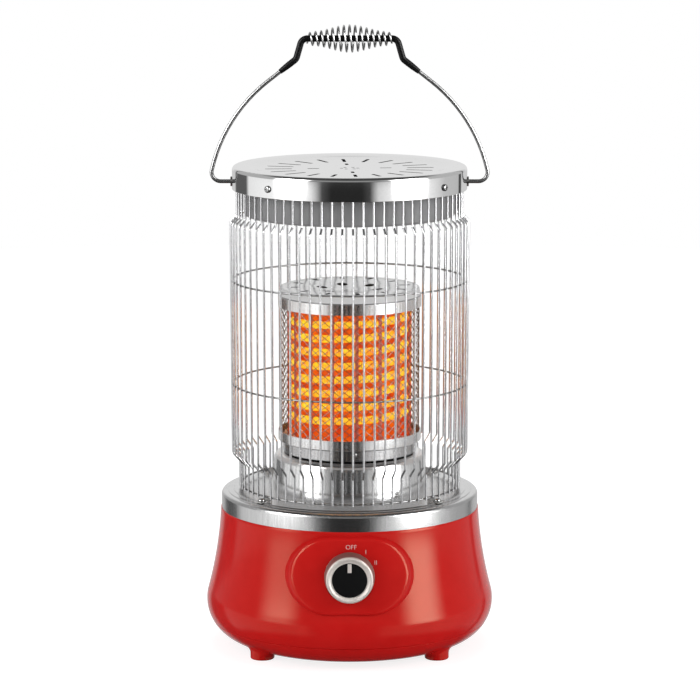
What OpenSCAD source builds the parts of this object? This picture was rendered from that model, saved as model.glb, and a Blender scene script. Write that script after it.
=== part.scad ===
// Round ceramic heater: flared base with a rotary switch, glowing element in a wire guard, lid and bail.
// Millimetres. +Z is up and the front faces -Y. The origin is on the floor under the middle of the base.

/* [Base] */
// Largest radius of the base
base_r = 144; // [136:1:156]
// Radius of the rounding at the foot of the base
base_round_r = 40; // [34:1:44]
// Height of the underside above the floor
underside_z = 5; // [4:0.5:8]
// Height of the base up to the deck's lower edge
base_h = 139.5; // [134:0.5:160]
// Lean of the wall where the flare meets the rounding, degrees
flare_lean = 15; // [12:1:18]
// Lean of the wall at its top edge, degrees
top_lean = 3; // [1:1:5]
// Wall thickness of the base mouldings
base_wall = 2.5; // [2:0.1:3.5]
// Angle below level at which the bottom cover meets the shell, degrees
seam_angle = 30; // [26:1:36]
// Diameter of a foot
foot_d = 24; // [20:1:28]
// How far the feet stand in from the largest radius
foot_inset = 29.5; // [26:0.5:34]
// Angle of the feet to either side of the front and the back, degrees
foot_angle = 49; // [44:1:54]
// Diameter of the screw posts over the feet
post_d = 9; // [8:0.5:11]

/* [Control panel] */
// Width of the panel
panel_w = 126; // [116:1:134]
// Height of the panel's face
panel_h = 73; // [66:1:76]
// Height of the panel's middle and of the knob
panel_z = 98; // [96:0.5:100]
// How far the panel stands off the base at its middle
panel_rise = 6; // [5.5:0.5:8]
// Radius of the panel's face
panel_face_r = 180; // [160:5:260]
// Backward lean of the panel's face, degrees
panel_lean = 8; // [5:1:10]
// Slope of the panel's edge, degrees
panel_draft = 22; // [15:1:26]

/* [Knob] */
// Diameter of the knob's ring at its front
knob_d = 45.5; // [41:0.5:48]
// Extra radius of the ring at its back
knob_flare = 1.8; // [0.5:0.1:3]
// Depth of the knob
knob_depth = 16.5; // [14:0.5:20]
// Diameter of the knob's dark face
knob_face_d = 33; // [28:0.5:36]
// How far the face lies below the ring's front
face_recess = 1.2; // [0.6:0.1:2]
// Width of the pointer
pointer_w = 3.7; // [2.5:0.1:5]
// Length of the pointer
pointer_len = 8.7; // [6:0.1:11]
// Diameter of the switch's shaft
shaft_d = 6; // [5:0.5:6.5]
// Gap between the knob and the panel
knob_gap = 0.6; // [0.4:0.1:1.5]
// Gap round the knob in its seat on the panel
seat_gap = 1.2; // [0.8:0.1:2]

/* [Deck and pedestal] */
// Height of the deck's skirt
deck_h = 18.5; // [16:0.5:24]
// Ledge of the base that shows outside the deck's skirt
deck_ledge = 0.8; // [0.4:0.1:1.5]
// Sheet thickness of the deck, the pedestal and the lid
sheet = 1; // [0.8:0.1:1.2]
// Radius of the deck's edge
deck_edge_r = 4; // [3:0.5:6]
// Radius of the pedestal drum
pedestal_r = 77.5; // [74:0.5:84]
// Height of the pedestal drum
pedestal_h = 37.2; // [30:0.1:45]
// Radius of the pedestal's top edge
pedestal_edge_r = 6; // [4:0.5:7]

/* [Element] */
// Outer radius of the holder collar
holder_r = 67; // [64:0.5:68]
// Height of the holder collar
holder_h = 12.4; // [11:0.1:16]
// Outer radius of the tray and of the cap
band_r = 71.5; // [70:0.5:75]
// Height of the tray's wall
tray_h = 10.2; // [8:0.1:14]
// Height of the element from the tray's underside to the top of the cap
element_h = 154.4; // [145:0.1:175]
// Height of the cap
cap_h = 19; // [16:0.5:22]
// Height of the cap's crown above its straight band
cap_crown_h = 8.2; // [6:0.2:10]
// How far the side of the cap's crown leans in
cap_lean = 1.8; // [1:0.1:3]
// Round holes in the cap's dish
cap_hole_count = 6; // [5:1:8]
// Diameter of a hole in the cap's dish
cap_hole_d = 9; // [7:0.5:11]
// Slots in the rim round the cap's dish
cap_slot_count = 12; // [8:1:16]
// Thickness of the mesh
mesh_t = 0.8; // [0.6:0.1:1]
// Openings round the mesh
mesh_cols = 24; // [18:1:24]
// Rows of openings in the mesh
mesh_rows = 12; // [8:1:12]
// Width of a strand of the mesh
strand_w = 2; // [1.5:0.1:3]
// Radius of the ceramic core between its ribs
core_r = 48; // [44:0.5:50]
// Radius of the core's bore
core_bore_r = 40; // [36:0.5:41]
// Ribs round the core, before the ones at the terminals are left out
rib_count = 16; // [12:1:18]
// Angle from the front to the first rib, degrees
rib_turn = 6.7; // [4:0.1:10]
// Width of a rib
rib_w = 3.4; // [2.8:0.1:6]
// Gap between the core and the winding
winding_gap = 6.2; // [4:0.1:7]
// Gap round the winding in its holes through the ribs
thread_gap = 0.7; // [0.6:0.05:1]
// Thickness of the ceramic insulators
insulator_t = 5; // [4:0.5:7]
// Turns of the winding
winding_turns = 8; // [6:1:8]
// Rise of the winding in one turn
winding_pitch = 13.7; // [12:0.1:14]
// Outer diameter of the coiled heating wire
winding_d = 6.6; // [5:0.1:7]
// Diameter of the tie rod
tie_d = 6; // [5:0.5:8]

/* [Guard] */
// Upright wires in the guard
wire_count = 70; // [56:2:80]
// Diameter of an upright wire
wire_d = 2.1; // [1.8:0.1:2.6]
// Angle from the front to the first wire, degrees
wire_turn = 1.65; // [0:0.05:5]
// Distance from the deck's edge in to the lower neck's wires
guard_inset = 18.3; // [16:0.1:22]
// How far the barrel stands out from the lower neck
barrel_out = 7.2; // [5:0.1:9]
// How far the barrel widens towards its top
barrel_taper = 1.2; // [0:0.1:2]
// How far the upper neck stands in from the top of the barrel
neck_in = 6.4; // [5:0.1:8]
// Gap between the deck and the wires' lower ends
wire_lift = 3; // [2.6:0.1:5]
// Height of the guard's wires
guard_h = 301.2; // [280:0.1:330]
// Height of the lower neck
low_neck_h = 27; // [20:0.5:35]
// Height of the lower shoulder
low_shoulder_h = 8; // [6:0.5:12]
// Height of the upper shoulder
top_shoulder_h = 6.5; // [5:0.5:10]
// Height of the upper neck
top_neck_h = 28.2; // [26:0.1:36]
// Bend radius of the wires
wire_bend_r = 4; // [3:0.5:6]
// Diameter of the ring wires
ring_d = 1.8; // [1.6:0.1:3.2]
// Height of the lower ring above the deck
low_ring_z = 107; // [80:1:130]
// Height of the upper ring above the deck
high_ring_z = 211; // [190:1:230]
// Width of a tab that holds the guard down
tab_w = 10; // [8:0.5:14]

/* [Lid] */
// Height of the lid's band
lid_h = 23; // [21:0.5:30]
// How far the lid's band reaches down over the wires
lid_lap = 2.2; // [1:0.1:4]
// Radius of the lid's edge
lid_edge_r = 4; // [3:0.5:5]
// Depth of the lid's sunk middle
lid_recess = 3; // [2:0.5:4]
// Width of the rim round the sunk middle
lid_rim = 17; // [14:0.5:22]
// Slots in the lid
lid_slot_count = 20; // [14:1:22]
// Inner radius of the lid's slots
lid_slot_in = 57; // [52:0.5:62]
// Outer radius of the lid's slots
lid_slot_out = 84; // [76:0.5:90]
// Width of a slot
slot_w = 3.4; // [2.5:0.1:4.5]
// Turn of the lid's screws and slots about the axis, degrees
lid_turn = 4.8; // [0:0.1:8]
// Angle of the lid's screws to either side of the front and the back, degrees
lid_screw_angle = 47.4; // [40:0.2:52]
// Depth of the heat shield below the guard's top
shield_h = 28.2; // [20:0.1:34]
// Gap between the heat shield's wall and the upper neck's wires
shield_gap = 6.15; // [5.6:0.05:9]

/* [Bail] */
// Diameter of the bail's wire
bail_d = 4; // [3.5:0.1:4.4]
// Height of the bail's pivots above the lid's lower edge
pivot_h = 7; // [6.8:0.1:9]
// How far the bail's lower corners stand out from the lid
bail_out = 22.5; // [20:0.5:30]
// Bend radius of the lower corners
bail_bend_r = 9; // [7:0.5:10]
// Lean of the arms above the lower corners, degrees
arm_lean = 13; // [10:1:16]
// Lean of the shoulders, degrees
shoulder_lean = 52; // [48:1:56]
// Radius of the arms' curve
arm_r = 156; // [145:1:165]
// Straight length of a shoulder
shoulder_len = 33; // [30:0.5:40]
// Lean of the shanks, degrees
shank_lean = 16; // [10:1:20]
// Length of a shank between its corners
shank_len = 21; // [19:0.5:26]
// Bend radius of the corners at the grip
grip_bend_r = 7; // [6:0.5:9]
// Diameter of the grip's sleeve
sleeve_d = 6.5; // [6:0.1:8]
// How far the sleeve runs down a shoulder
sleeve_run = 18; // [14:1:28]
// Largest diameter of the coil grip
grip_d = 28; // [22:0.5:30]
// Diameter of the coil grip next to its ends
grip_neck_d = 14.6; // [12:0.2:18]
// Turns of the coil grip
grip_turns = 15; // [12:1:16]
// Wire diameter of the coil grip
grip_wire_d = 1.7; // [1.4:0.1:2]

/* [Inside] */
// Width and height of the switch
switch_size = 34; // [28:1:36]
// Depth of the switch
switch_depth = 24; // [18:1:30]
// Distance of the switch's face behind the base's wall
switch_back = 20; // [16:1:26]
// Bore of the cord gland
gland_bore_d = 8.4; // [7:0.1:10]
// Height of the cord gland
gland_z = 46; // [45:0.5:50]
// Travel of the tip-over plunger
tip_travel = 6; // [4:0.5:7]
// Diameter of the tip-over plunger
tip_d = 6; // [5:0.5:7]
// Diameter of the lead wires
lead_d = 2.4; // [2:0.1:3]

/* [Clearances] */
// Radial clearance of a pin that turns or slides
run_fit = 0.05; // [0.02:0.01:0.1]
// Gap between pieces that are welded or fixed together
weld_gap = 0.15; // [0.1:0.01:0.2]
// Gap between pieces that slip over each other
slip_gap = 0.3; // [0.2:0.05:0.5]

/* [Hidden] */
$fn = 48;

// Base outline: a rounding at the foot and a hollow flare above it, as two tangent arcs
round_c = [base_r - base_round_r, underside_z + base_round_r];
flare_low = round_c + base_round_r * [cos(flare_lean), sin(flare_lean)];
flare_r = (base_h - flare_low[1]) / (sin(flare_lean) - sin(top_lean));
flare_c = flare_low + flare_r * [cos(flare_lean), sin(flare_lean)];
base_top_r = flare_c[0] - flare_r * cos(top_lean);
seam_z = round_c[1] - base_round_r * sin(seam_angle);
round_steps = 10;
flare_steps = 14;

// Deck, posts and feet
deck_r = base_top_r - deck_ledge;
deck_z = base_h + deck_h;
deck_under = deck_z - sheet;
collar_r = deck_r - sheet - slip_gap;
flange_t = 3;
foot_r = base_r - foot_inset;
post_angles = [foot_angle, 180 - foot_angle, 180 + foot_angle, -foot_angle];
foot_boss_z = 14;
flange_in = foot_r - post_d / 2 - 1;
lip_t = 2;
lip_h = 6;

// Screws: one pan head for all, with its own thread
screw_d = 3;
screw_head_d = 7;
screw_head_h = 2.4;
screw_bite = 12;
pilot_d = screw_d + 0.2;
screw_hole_d = screw_d + 0.4;
boss_d = 8;

// Panel, knob and switch along the knob's axis, which runs front to back
wall_y = base_r_at(panel_z);
panel_y = wall_y + panel_rise;
knob_back = panel_y + knob_gap;
knob_front = knob_back + knob_depth;
knob_bore = 11;
hub_r = knob_face_d / 2 + 0.6;
face_t = 3;
hub_front = knob_front - face_recess - face_t;
switch_y = wall_y - switch_back;
switch_post_x = switch_size / 2 + 7;
switch_post_d = 8;
ear_t = 3;
shaft_hole_d = shaft_d + 2;

// Element, stacked on the deck
pedestal_z = deck_z + pedestal_h;
tray_z = pedestal_z + holder_h;
cap_z = tray_z + element_h;
band_t = 1;
crown_z = cap_z - cap_crown_h;
cap_corner_r = 1.5;
cap_dish_r = band_r * 0.66;
cap_floor_r = 10;
cap_step = 2.5;
cap_hole_ring_r = (cap_dish_r + cap_floor_r) / 2;
cap_hole_turn = 45;
cap_star_d = 2.6;
cap_slot_w = 2.6;
cap_slot_out = band_r * 0.86;
cap_slot_turn = 8;
mesh_r = band_r - band_t - weld_gap;
mesh_low = tray_z + band_t;
mesh_high = crown_z - slip_gap;
core_low = tray_z + band_t + insulator_t;
core_room = 2.8;
core_high = crown_z - insulator_t - core_room;
insulator_r = mesh_r - mesh_t - 3;
winding_r = core_r + winding_gap + winding_d / 2;
rib_r = winding_r + winding_d / 2 + 2 * thread_gap;
rib_clear = 24;
rib_angles = [for (i = [0:rib_count - 1]) let (a = rib_turn + 360 * i / rib_count)
    if (abs(a - 180) > rib_clear) a];
winding_mid = (core_low + core_high) / 2 + 3.5;
winding_low = winding_mid - winding_turns * winding_pitch / 2;
winding_steps = 24;
tie_hole_r = tie_d / 2 + 0.2;
nut_h = 5;
nut_d = tie_d * 1.9;
nut_top = core_high + insulator_t + nut_h;
rod_end = 0.3;
stud_d = 4;
return_r = 26;
terminal_size = 9;
winding_tail = winding_d;
spigot_h = 8;
holder_t = 1.2;
spigot_r = holder_r - holder_t - weld_gap;

// Guard
wire_low = deck_z + wire_lift;
wire_high = wire_low + guard_h;
low_neck_r = deck_r - guard_inset;
barrel_low_r = low_neck_r + barrel_out;
barrel_top_r = barrel_low_r + barrel_taper;
top_neck_r = barrel_top_r - neck_in;
barrel_low_z = wire_low + low_neck_h + low_shoulder_h;
barrel_high_z = wire_high - top_neck_h - top_shoulder_h;
wire_path = [[low_neck_r, wire_low], [low_neck_r, wire_low + low_neck_h], [barrel_low_r, barrel_low_z],
    [barrel_top_r, barrel_high_z], [top_neck_r, wire_high - top_neck_h], [top_neck_r, wire_high]];
wire_bends = [for (p = wire_path) wire_bend_r];
ring_in = wire_d / 2 + ring_d / 2 + weld_gap;
bottom_ring_z = wire_low + ring_d / 2 + 0.5;
top_ring_z = wire_high - ring_d / 2 - 0.3;
tab_t = 1.2;
tab_tongue_r = low_neck_r - ring_in - ring_d / 2 - 0.25;
tab_tongue_h = bottom_ring_z + ring_d / 2 - deck_z;
tab_end_r = foot_r + screw_head_d / 2 + 2;

// Lid, brackets and shield
bracket_t = 2;
bracket_in = top_neck_r + wire_d / 2 + weld_gap;
lid_in = bracket_in + bracket_t + weld_gap;
lid_r = lid_in + sheet;
lid_low = wire_high - lid_lap;
lid_high = lid_low + lid_h;
sunk_r = lid_r - lid_rim;
sunk_step = 3;
lid_screw_z = lid_low + 9;
lid_screw_angles = [for (a = [lid_screw_angle, 180 - lid_screw_angle, 180 + lid_screw_angle,
    -lid_screw_angle]) a + lid_turn];
bracket_span = 8;
bracket_lip = 5;
shield_t = 0.8;
shield_r = top_neck_r - wire_d / 2 - shield_gap;
shield_low = wire_high - shield_h;

// Bends of a rod
bend_swell = 0.02;
bend_lap = 0.05;

// Bail: corner points of one half of the wire, from its inner end to the middle of the grip
pivot_z = lid_low + pivot_h;
bush_flange = 1.5;
bush_lip = 0.8;
clip_t = 1.6;
clip_r = bail_d / 2 + 1.6;
bail_end_x = lid_in - 8;
bail_a = [lid_r + bail_out, pivot_z];
reach_a = bail_bend_r * tan((90 + arm_lean) / 2);
reach_b = arm_r * tan((shoulder_lean - arm_lean) / 2);
reach_c = grip_bend_r * tan((shoulder_lean - shank_lean) / 2);
bail_b = bail_a + (reach_a + reach_b + 0.5) * [-sin(arm_lean), cos(arm_lean)];
bail_c = bail_b + (reach_b + shoulder_len + reach_c) * [-sin(shoulder_lean), cos(shoulder_lean)];
grip_corner = bail_c + shank_len * [-sin(shank_lean), cos(shank_lean)];
grip_z = grip_corner[1];
sleeve_end = bail_c + (sleeve_run + reach_c) * [sin(shoulder_lean), -cos(shoulder_lean)];
bail_half = [[bail_end_x, pivot_z], bail_a, bail_b, bail_c, grip_corner];
bail_bends = [0, bail_bend_r, arm_r, grip_bend_r, grip_bend_r];
sleeve_half = [sleeve_end, bail_c, grip_corner];
sleeve_bends = [0, grip_bend_r, grip_bend_r];
grip_half = grip_corner[0] - 5;
grip_steps = 8;

// Pieces on the floor of the bottom cover
floor_z = underside_z + base_wall;
gland_len = 26;
gland_flange = 3;
gland_wall = 3;
gland_nut_gap = 2;
gland_nut_h = 4;
boss_h = 5;
block_screw_x = 16;
block_hole_x = 9;
block_hole_h = 10.8;
tip_screw_x = 19;
block_size = [44, 18, 18];
block_at = [0, 74];
tip_at = [-52, 26];
tip_size = [26, 26];
tip_collar_r = tip_d / 2 + 2;
tip_collar_z = floor_z + tip_travel + 3;
tip_collar_t = 2;
tip_roof = tip_collar_z + tip_collar_t + 12;
tip_top = tip_roof + 3;
tip_ear_t = 3;
cutout_at = [0, 46];
cutout_d = 18;
cutout_h = 9;
cutout_ear = cutout_d / 2 + 4;
rivet_d = 3;
rivet_head_d = 5.4;
rivet_head_h = 1;
lead_hole_at = [0, -22];
lead_hole_r = 9;

// Points of an arc, without its first skip points
function arc(c, r, a0, a1, n, skip = 0) =
    [for (i = [skip:n]) c + r * [cos(a0 + (a1 - a0) * i / n), sin(a0 + (a1 - a0) * i / n)]];
// Outer radius of the base on its flare
function base_r_at(z) = flare_c[0] - sqrt(pow(flare_r, 2) - pow(z - flare_c[1], 2));
// Wall line of the base from height z0 up to z1, moved in by inset
function base_wall_line(inset, z0, z1) = concat(
    arc(round_c, base_round_r - inset, asin((z0 - round_c[1]) / (base_round_r - inset)), flare_lean,
        round_steps),
    arc(flare_c, flare_r + inset, 180 + flare_lean, 180 + asin((flare_c[1] - z1) / (flare_r + inset)),
        flare_steps, 1));
function reversed(p) = [for (i = [len(p) - 1:-1:0]) p[i]];
function unit(v) = v / norm(v);
// Signed turn of a flat path at its corner i, and how far a bend there reaches along the path
function turn_at(p, i) = let (a = unit(p[i] - p[i - 1]), b = unit(p[i + 1] - p[i]))
    atan2(a[0] * b[1] - a[1] * b[0], a * b);
function reach_at(p, r, i) = i == 0 || i == len(p) - 1 ? 0 : r[i] * tan(abs(turn_at(p, i)) / 2);
// A half path and its mirror image, joined at the middle
function mirrored(p) = concat(p, [for (q = reversed(p)) [-q[0], q[1]]]);
// Radius of the wires' line at a height on the barrel
function barrel_r_at(z) = barrel_low_r + barrel_taper * (z - barrel_low_z) / (barrel_high_z - barrel_low_z);
// Least distance between points of a coil that are at least half a turn apart
function least_gap(p, steps, d) =
    min([for (i = [0:len(p) - 1]) for (j = [i + steps / 2:1:len(p) - 1]) norm(p[i] - p[j])]) - d;

// A place at an angle from the front, seen from above, on a circle round the axis
module at_angle(a, r, z = 0) {
    rotate([0, 0, a - 90]) translate([r, 0, z]) children();
}

// Round rod along a flat path in the XZ plane, with a true bend at each corner.
// A bend is bend_swell wider than the rod, whose ends reach bend_lap into it.
module bent_rod(p, r, d) {
    for (i = [0:len(p) - 2]) {
        dir = unit(p[i + 1] - p[i]);
        a = p[i] + dir * (reach_at(p, r, i) - (i == 0 ? 0 : bend_lap));
        b = p[i + 1] - dir * (reach_at(p, r, i + 1) - (i == len(p) - 2 ? 0 : bend_lap));
        translate([a[0], 0, a[1]]) rotate([0, atan2(dir[0], dir[1]), 0]) cylinder(h = norm(b - a), d = d);
    }
    for (i = [1:len(p) - 2]) {
        turn = turn_at(p, i);
        dir = unit(p[i] - p[i - 1]);
        side = turn > 0 ? 1 : -1;
        c = p[i] - dir * reach_at(p, r, i) + side * r[i] * [-dir[1], dir[0]];
        from = atan2(dir[1], dir[0]) - side * 90;
        translate([c[0], 0, c[1]]) rotate([90, 0, 0]) rotate([0, 0, min(from, from + turn)])
            rotate_extrude(angle = abs(turn)) translate([r[i], 0]) circle(d = d + bend_swell);
    }
}

// Tube of six sides along points, with out the side that faces away from the coil's axis
module swept_tube(p, out, d, sides = 6) {
    n = len(p);
    tangent = [for (i = [0:n - 1]) unit(p[min(i + 1, n - 1)] - p[max(i - 1, 0)])];
    u = [for (i = [0:n - 1]) unit(out[i] - (out[i] * tangent[i]) * tangent[i])];
    v = [for (i = [0:n - 1]) cross(tangent[i], u[i])];
    rings = [for (i = [0:n - 1]) for (k = [0:sides - 1])
        p[i] + d / 2 * (cos(360 * k / sides) * u[i] + sin(360 * k / sides) * v[i])];
    walls = [for (i = [0:n - 2]) for (k = [0:sides - 1]) let (a = i * sides + k,
        b = i * sides + (k + 1) % sides) each [[a, a + sides, b], [b, a + sides, b + sides]]];
    first = [for (k = [1:sides - 2]) [0, k, k + 1]];
    last = [for (k = [1:sides - 2]) [(n - 1) * sides, (n - 1) * sides + k + 1, (n - 1) * sides + k]];
    polyhedron(points = rings, faces = concat(walls, first, last));
}

// Slot with round ends, along X from x0 to x1
module slot(x0, x1, w, h) {
    translate([0, 0, -h / 2]) linear_extrude(h) {
        translate([x0 + w / 2, -w / 2]) square([x1 - x0 - w, w]);
        translate([x0 + w / 2, 0]) circle(d = w);
        translate([x1 - w / 2, 0]) circle(d = w);
    }
}

// Pan-head screw whose head rests on z = 0 and whose shank points down
module pan_screw(len, d = screw_d, head_d = screw_head_d, head_h = screw_head_h) {
    difference() {
        union() {
            rotate_extrude() polygon(concat([[0, 0], [head_d / 2, 0]],
                arc([head_d / 2 - head_h * 0.7, head_h * 0.3], head_h * 0.7, 0, 90, 6), [[0, head_h]]));
            translate([0, 0, -len]) cylinder(h = len, d = d);
        }
        for (a = [0, 90]) rotate([0, 0, a]) translate([-head_d * 0.3, -0.45, head_h - 1])
            cube([head_d * 0.6, 0.9, 2]);
    }
}

module ring_wire(r, z) {
    translate([0, 0, z]) rotate_extrude() translate([r, 0]) circle(d = ring_d);
}

// Solid body inside the base's outer wall, moved out by grow
module base_body(grow) {
    line = base_wall_line(-grow, seam_z, base_h);
    rotate_extrude() polygon(concat([[0, seam_z]], line, [[0, base_h]]));
}

// Front view to model: X stays, up becomes Z and the drawing's front faces -Y
module facing_front(y, z) {
    translate([0, -y, z]) rotate([90, 0, 0]) children();
}

module base_shell() {
    color("firebrick") difference() {
        union() {
            rotate_extrude() polygon(concat(
                base_wall_line(0, seam_z, base_h),
                [[collar_r, base_h], [collar_r, deck_z - deck_edge_r - 0.5],
                 [deck_r - deck_edge_r - 0.5, deck_under], [flange_in, deck_under],
                 [flange_in, deck_under - flange_t], [collar_r - base_wall, deck_under - flange_t],
                 [collar_r - base_wall, base_h - base_wall]],
                reversed(base_wall_line(base_wall, seam_z, base_h - base_wall))));
            for (a = post_angles) at_angle(a, foot_r, foot_boss_z)
                cylinder(h = deck_under - foot_boss_z, d = post_d);
            for (x = [-switch_post_x, switch_post_x]) translate([x, 0, 0]) facing_front(switch_y, panel_z)
                cylinder(h = sqrt(pow(wall_y - base_wall, 2) - pow(x, 2)) - switch_y + base_wall * 0.4,
                    d = switch_post_d);
        }
        for (a = post_angles) at_angle(a, foot_r, 0) {
            translate([0, 0, foot_boss_z - 1]) cylinder(h = screw_bite + 3, d = pilot_d);
            translate([0, 0, deck_z - screw_bite - 2]) cylinder(h = screw_bite + 3, d = pilot_d);
        }
        for (x = [-switch_post_x, switch_post_x]) translate([x, 0, 0]) facing_front(switch_y - 1, panel_z)
            cylinder(h = screw_bite, d = pilot_d);
        facing_front(0, panel_z) cylinder(h = base_r, d = shaft_hole_d);
        translate([0, 0, gland_z]) rotate([-90, 0, 0])
            cylinder(h = base_r + 1, d = gland_bore_d + 2 * gland_wall + 0.2);
    }
}

// Oval block with sloping edges, its larger side at depth 0
module drafted_oval(w, h, depth, draft) {
    shrink = depth * tan(draft);
    for (x = [-1, 1]) translate([x * (w - h) / 2, 0, 0]) cylinder(h = depth, r1 = h / 2, r2 = h / 2 - shrink);
    rotate([90, 0, 90]) linear_extrude(w - h, center = true)
        polygon([[-h / 2, 0], [h / 2, 0], [h / 2 - shrink, depth], [shrink - h / 2, depth]]);
}

// The pad leans with its face, and a flat round seat in it lets the level knob turn
module control_panel() {
    sink = 24;
    end_wall_y = sqrt(pow(wall_y, 2) - pow(panel_w / 2, 2));
    end_depth = end_wall_y - panel_y + sink;
    back_w = panel_w + 2 * end_depth * tan(panel_draft);
    back_h = panel_h + 2 * sink * tan(panel_draft);
    color("firebrick") difference() {
        translate([0, -panel_y, panel_z]) rotate([-panel_lean, 0, 0]) intersection() {
            facing_front(-sink, 0) drafted_oval(back_w, back_h, sink + panel_rise, panel_draft);
            translate([0, panel_face_r, 0]) cylinder(h = 2 * back_h, r = panel_face_r, center = true);
        }
        base_body(weld_gap);
        translate([0, 0, base_h - 1]) cylinder(h = deck_h, r = base_top_r + weld_gap);
        facing_front(panel_y, panel_z) cylinder(h = sink, r = knob_d / 2 + knob_flare + seat_gap);
        facing_front(0, panel_z) cylinder(h = base_r * 2, d = shaft_hole_d);
    }
}

module bottom_cover() {
    seam_in = asin((seam_z - round_c[1]) / (base_round_r - base_wall));
    lip_r = round_c[0] + (base_round_r - base_wall) * cos(seam_in) - slip_gap;
    foot_edge = 1.5;
    color("firebrick") difference() {
        union() {
            rotate_extrude() polygon(concat([[0, underside_z]],
                arc(round_c, base_round_r, -90, -seam_angle, round_steps),
                arc(round_c, base_round_r - base_wall, seam_in, -90, round_steps), [[0, floor_z]]));
            translate([0, 0, seam_z - lip_t * 2]) rotate_extrude()
                translate([lip_r - lip_t, 0]) square([lip_t, lip_t * 2 + lip_h]);
            for (a = post_angles) at_angle(a, foot_r) rotate_extrude() polygon(concat([[0, 0]],
                arc([foot_d / 2 - foot_edge, foot_edge], foot_edge, -90, 0, 4),
                [[foot_d / 2, foot_boss_z - foot_edge], [foot_d / 2 - foot_edge, foot_boss_z],
                 [0, foot_boss_z]]));
            for (x = [-1, 1]) translate([block_at[0] + x * block_screw_x, block_at[1], floor_z - 1])
                cylinder(h = boss_h + 1, d = boss_d);
            for (x = [-1, 1]) translate([tip_at[0] + x * tip_screw_x, tip_at[1], floor_z - 1])
                cylinder(h = boss_h + 1, d = boss_d);
        }
        for (a = post_angles) at_angle(a, foot_r, 0) {
            translate([0, 0, -1]) cylinder(h = foot_boss_z - 2.6, d = screw_head_d + 1.4);
            cylinder(h = foot_boss_z + 1, d = screw_hole_d);
        }
        for (x = [-1, 1]) {
            translate([block_at[0] + x * block_screw_x, block_at[1], floor_z - 0.5])
                cylinder(h = boss_h + 1, d = pilot_d);
            translate([tip_at[0] + x * tip_screw_x, tip_at[1], floor_z - 0.5])
                cylinder(h = boss_h + 1, d = pilot_d);
        }
        translate([tip_at[0], tip_at[1], 0]) cylinder(h = floor_z + 1, d = tip_d + 1);
    }
}

module bottom_screws() {
    color("silver") for (a = post_angles) at_angle(a, foot_r, foot_boss_z - 3.6)
        rotate([180, 0, 0]) pan_screw(screw_bite + 2);
}

module deck() {
    edge_c = [deck_r - deck_edge_r, deck_z - deck_edge_r];
    color("silver") difference() {
        rotate_extrude() polygon(concat([[0, deck_under]],
            arc(edge_c, deck_edge_r - sheet, 90, 0, 8), [[deck_r - sheet, base_h], [deck_r, base_h]],
            arc(edge_c, deck_edge_r, 0, 90, 8), [[0, deck_z]]));
        translate([0, 0, deck_z]) cylinder(h = 4 * sheet, r = tie_hole_r, center = true);
        translate([lead_hole_at[0], lead_hole_at[1], deck_z])
            cylinder(h = 4 * sheet, r = lead_hole_r, center = true);
        for (a = post_angles) at_angle(a, foot_r, deck_z)
            cylinder(h = 4 * sheet, d = screw_hole_d, center = true);
        for (x = [-cutout_ear, cutout_ear]) translate([cutout_at[0] + x, cutout_at[1], deck_z])
            cylinder(h = 4 * sheet, d = rivet_d + 0.2, center = true);
    }
}

module cage_tabs() {
    color("silver") for (a = post_angles) difference() {
        at_angle(a, 0, deck_z) translate([0, -tab_w / 2, 0]) {
            translate([tab_tongue_r - tab_t, 0, 0]) cube([tab_end_r - tab_tongue_r + tab_t, tab_w, tab_t]);
            translate([tab_tongue_r - tab_t, 0, 0]) cube([tab_t, tab_w, tab_tongue_h]);
        }
        at_angle(a, foot_r, deck_z) cylinder(h = 4 * tab_t, d = screw_hole_d, center = true);
    }
}

module tab_screws() {
    color("gainsboro") for (a = post_angles) at_angle(a, foot_r, deck_z + tab_t) pan_screw(screw_bite);
}

module pedestal() {
    edge_c = [pedestal_r - pedestal_edge_r, pedestal_z - pedestal_edge_r];
    hole_r = core_bore_r;
    color("gainsboro") rotate_extrude() polygon(concat([[pedestal_r, deck_z]],
        arc(edge_c, pedestal_edge_r, 0, 90, 8), [[hole_r, pedestal_z], [hole_r, pedestal_z - sheet]],
        arc(edge_c, pedestal_edge_r - sheet, 90, 0, 8), [[pedestal_r - sheet, deck_z]]));
}

holder_screw_angles = [4, 124, 244];
holder_screw_d = 2.5;
holder_hole_d = holder_screw_d + 0.3;

module element_holder() {
    wall = holder_t;
    flange_r = holder_r - 9;
    color("dimgray") difference() {
        rotate_extrude() polygon([[holder_r, pedestal_z], [holder_r, tray_z], [holder_r - wall, tray_z],
            [holder_r - wall, pedestal_z + wall], [flange_r, pedestal_z + wall], [flange_r, pedestal_z]]);
        for (a = holder_screw_angles) at_angle(a, holder_r, tray_z - spigot_h / 2) rotate([0, 90, 0])
            cylinder(h = 8, d = holder_hole_d, center = true);
    }
}

module holder_screws() {
    color("silver") for (a = holder_screw_angles) at_angle(a, holder_r + 0.05, tray_z - spigot_h / 2)
        rotate([0, 90, 0]) pan_screw(5, holder_screw_d, 5, 1.8);
}

// Winding from the back round the core, with straight tails that meet the terminals
winding_turn_deg = 360 * winding_turns;
function on_winding(t) = [-winding_r * sin(t), winding_r * cos(t), winding_low + winding_pitch * t / 360];
winding_body = [for (i = [0:winding_turns * winding_steps]) on_winding(360 * i / winding_steps)];
tail_low = winding_body[0] + [winding_tail, 0, 0];
tail_high = on_winding(winding_turn_deg) - [winding_tail, 0, 0];
winding_points = concat([tail_low], winding_body, [tail_high]);
winding_out = [for (p = winding_points) unit([p[0], p[1], 0])];
terminal_y = winding_r;

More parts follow.
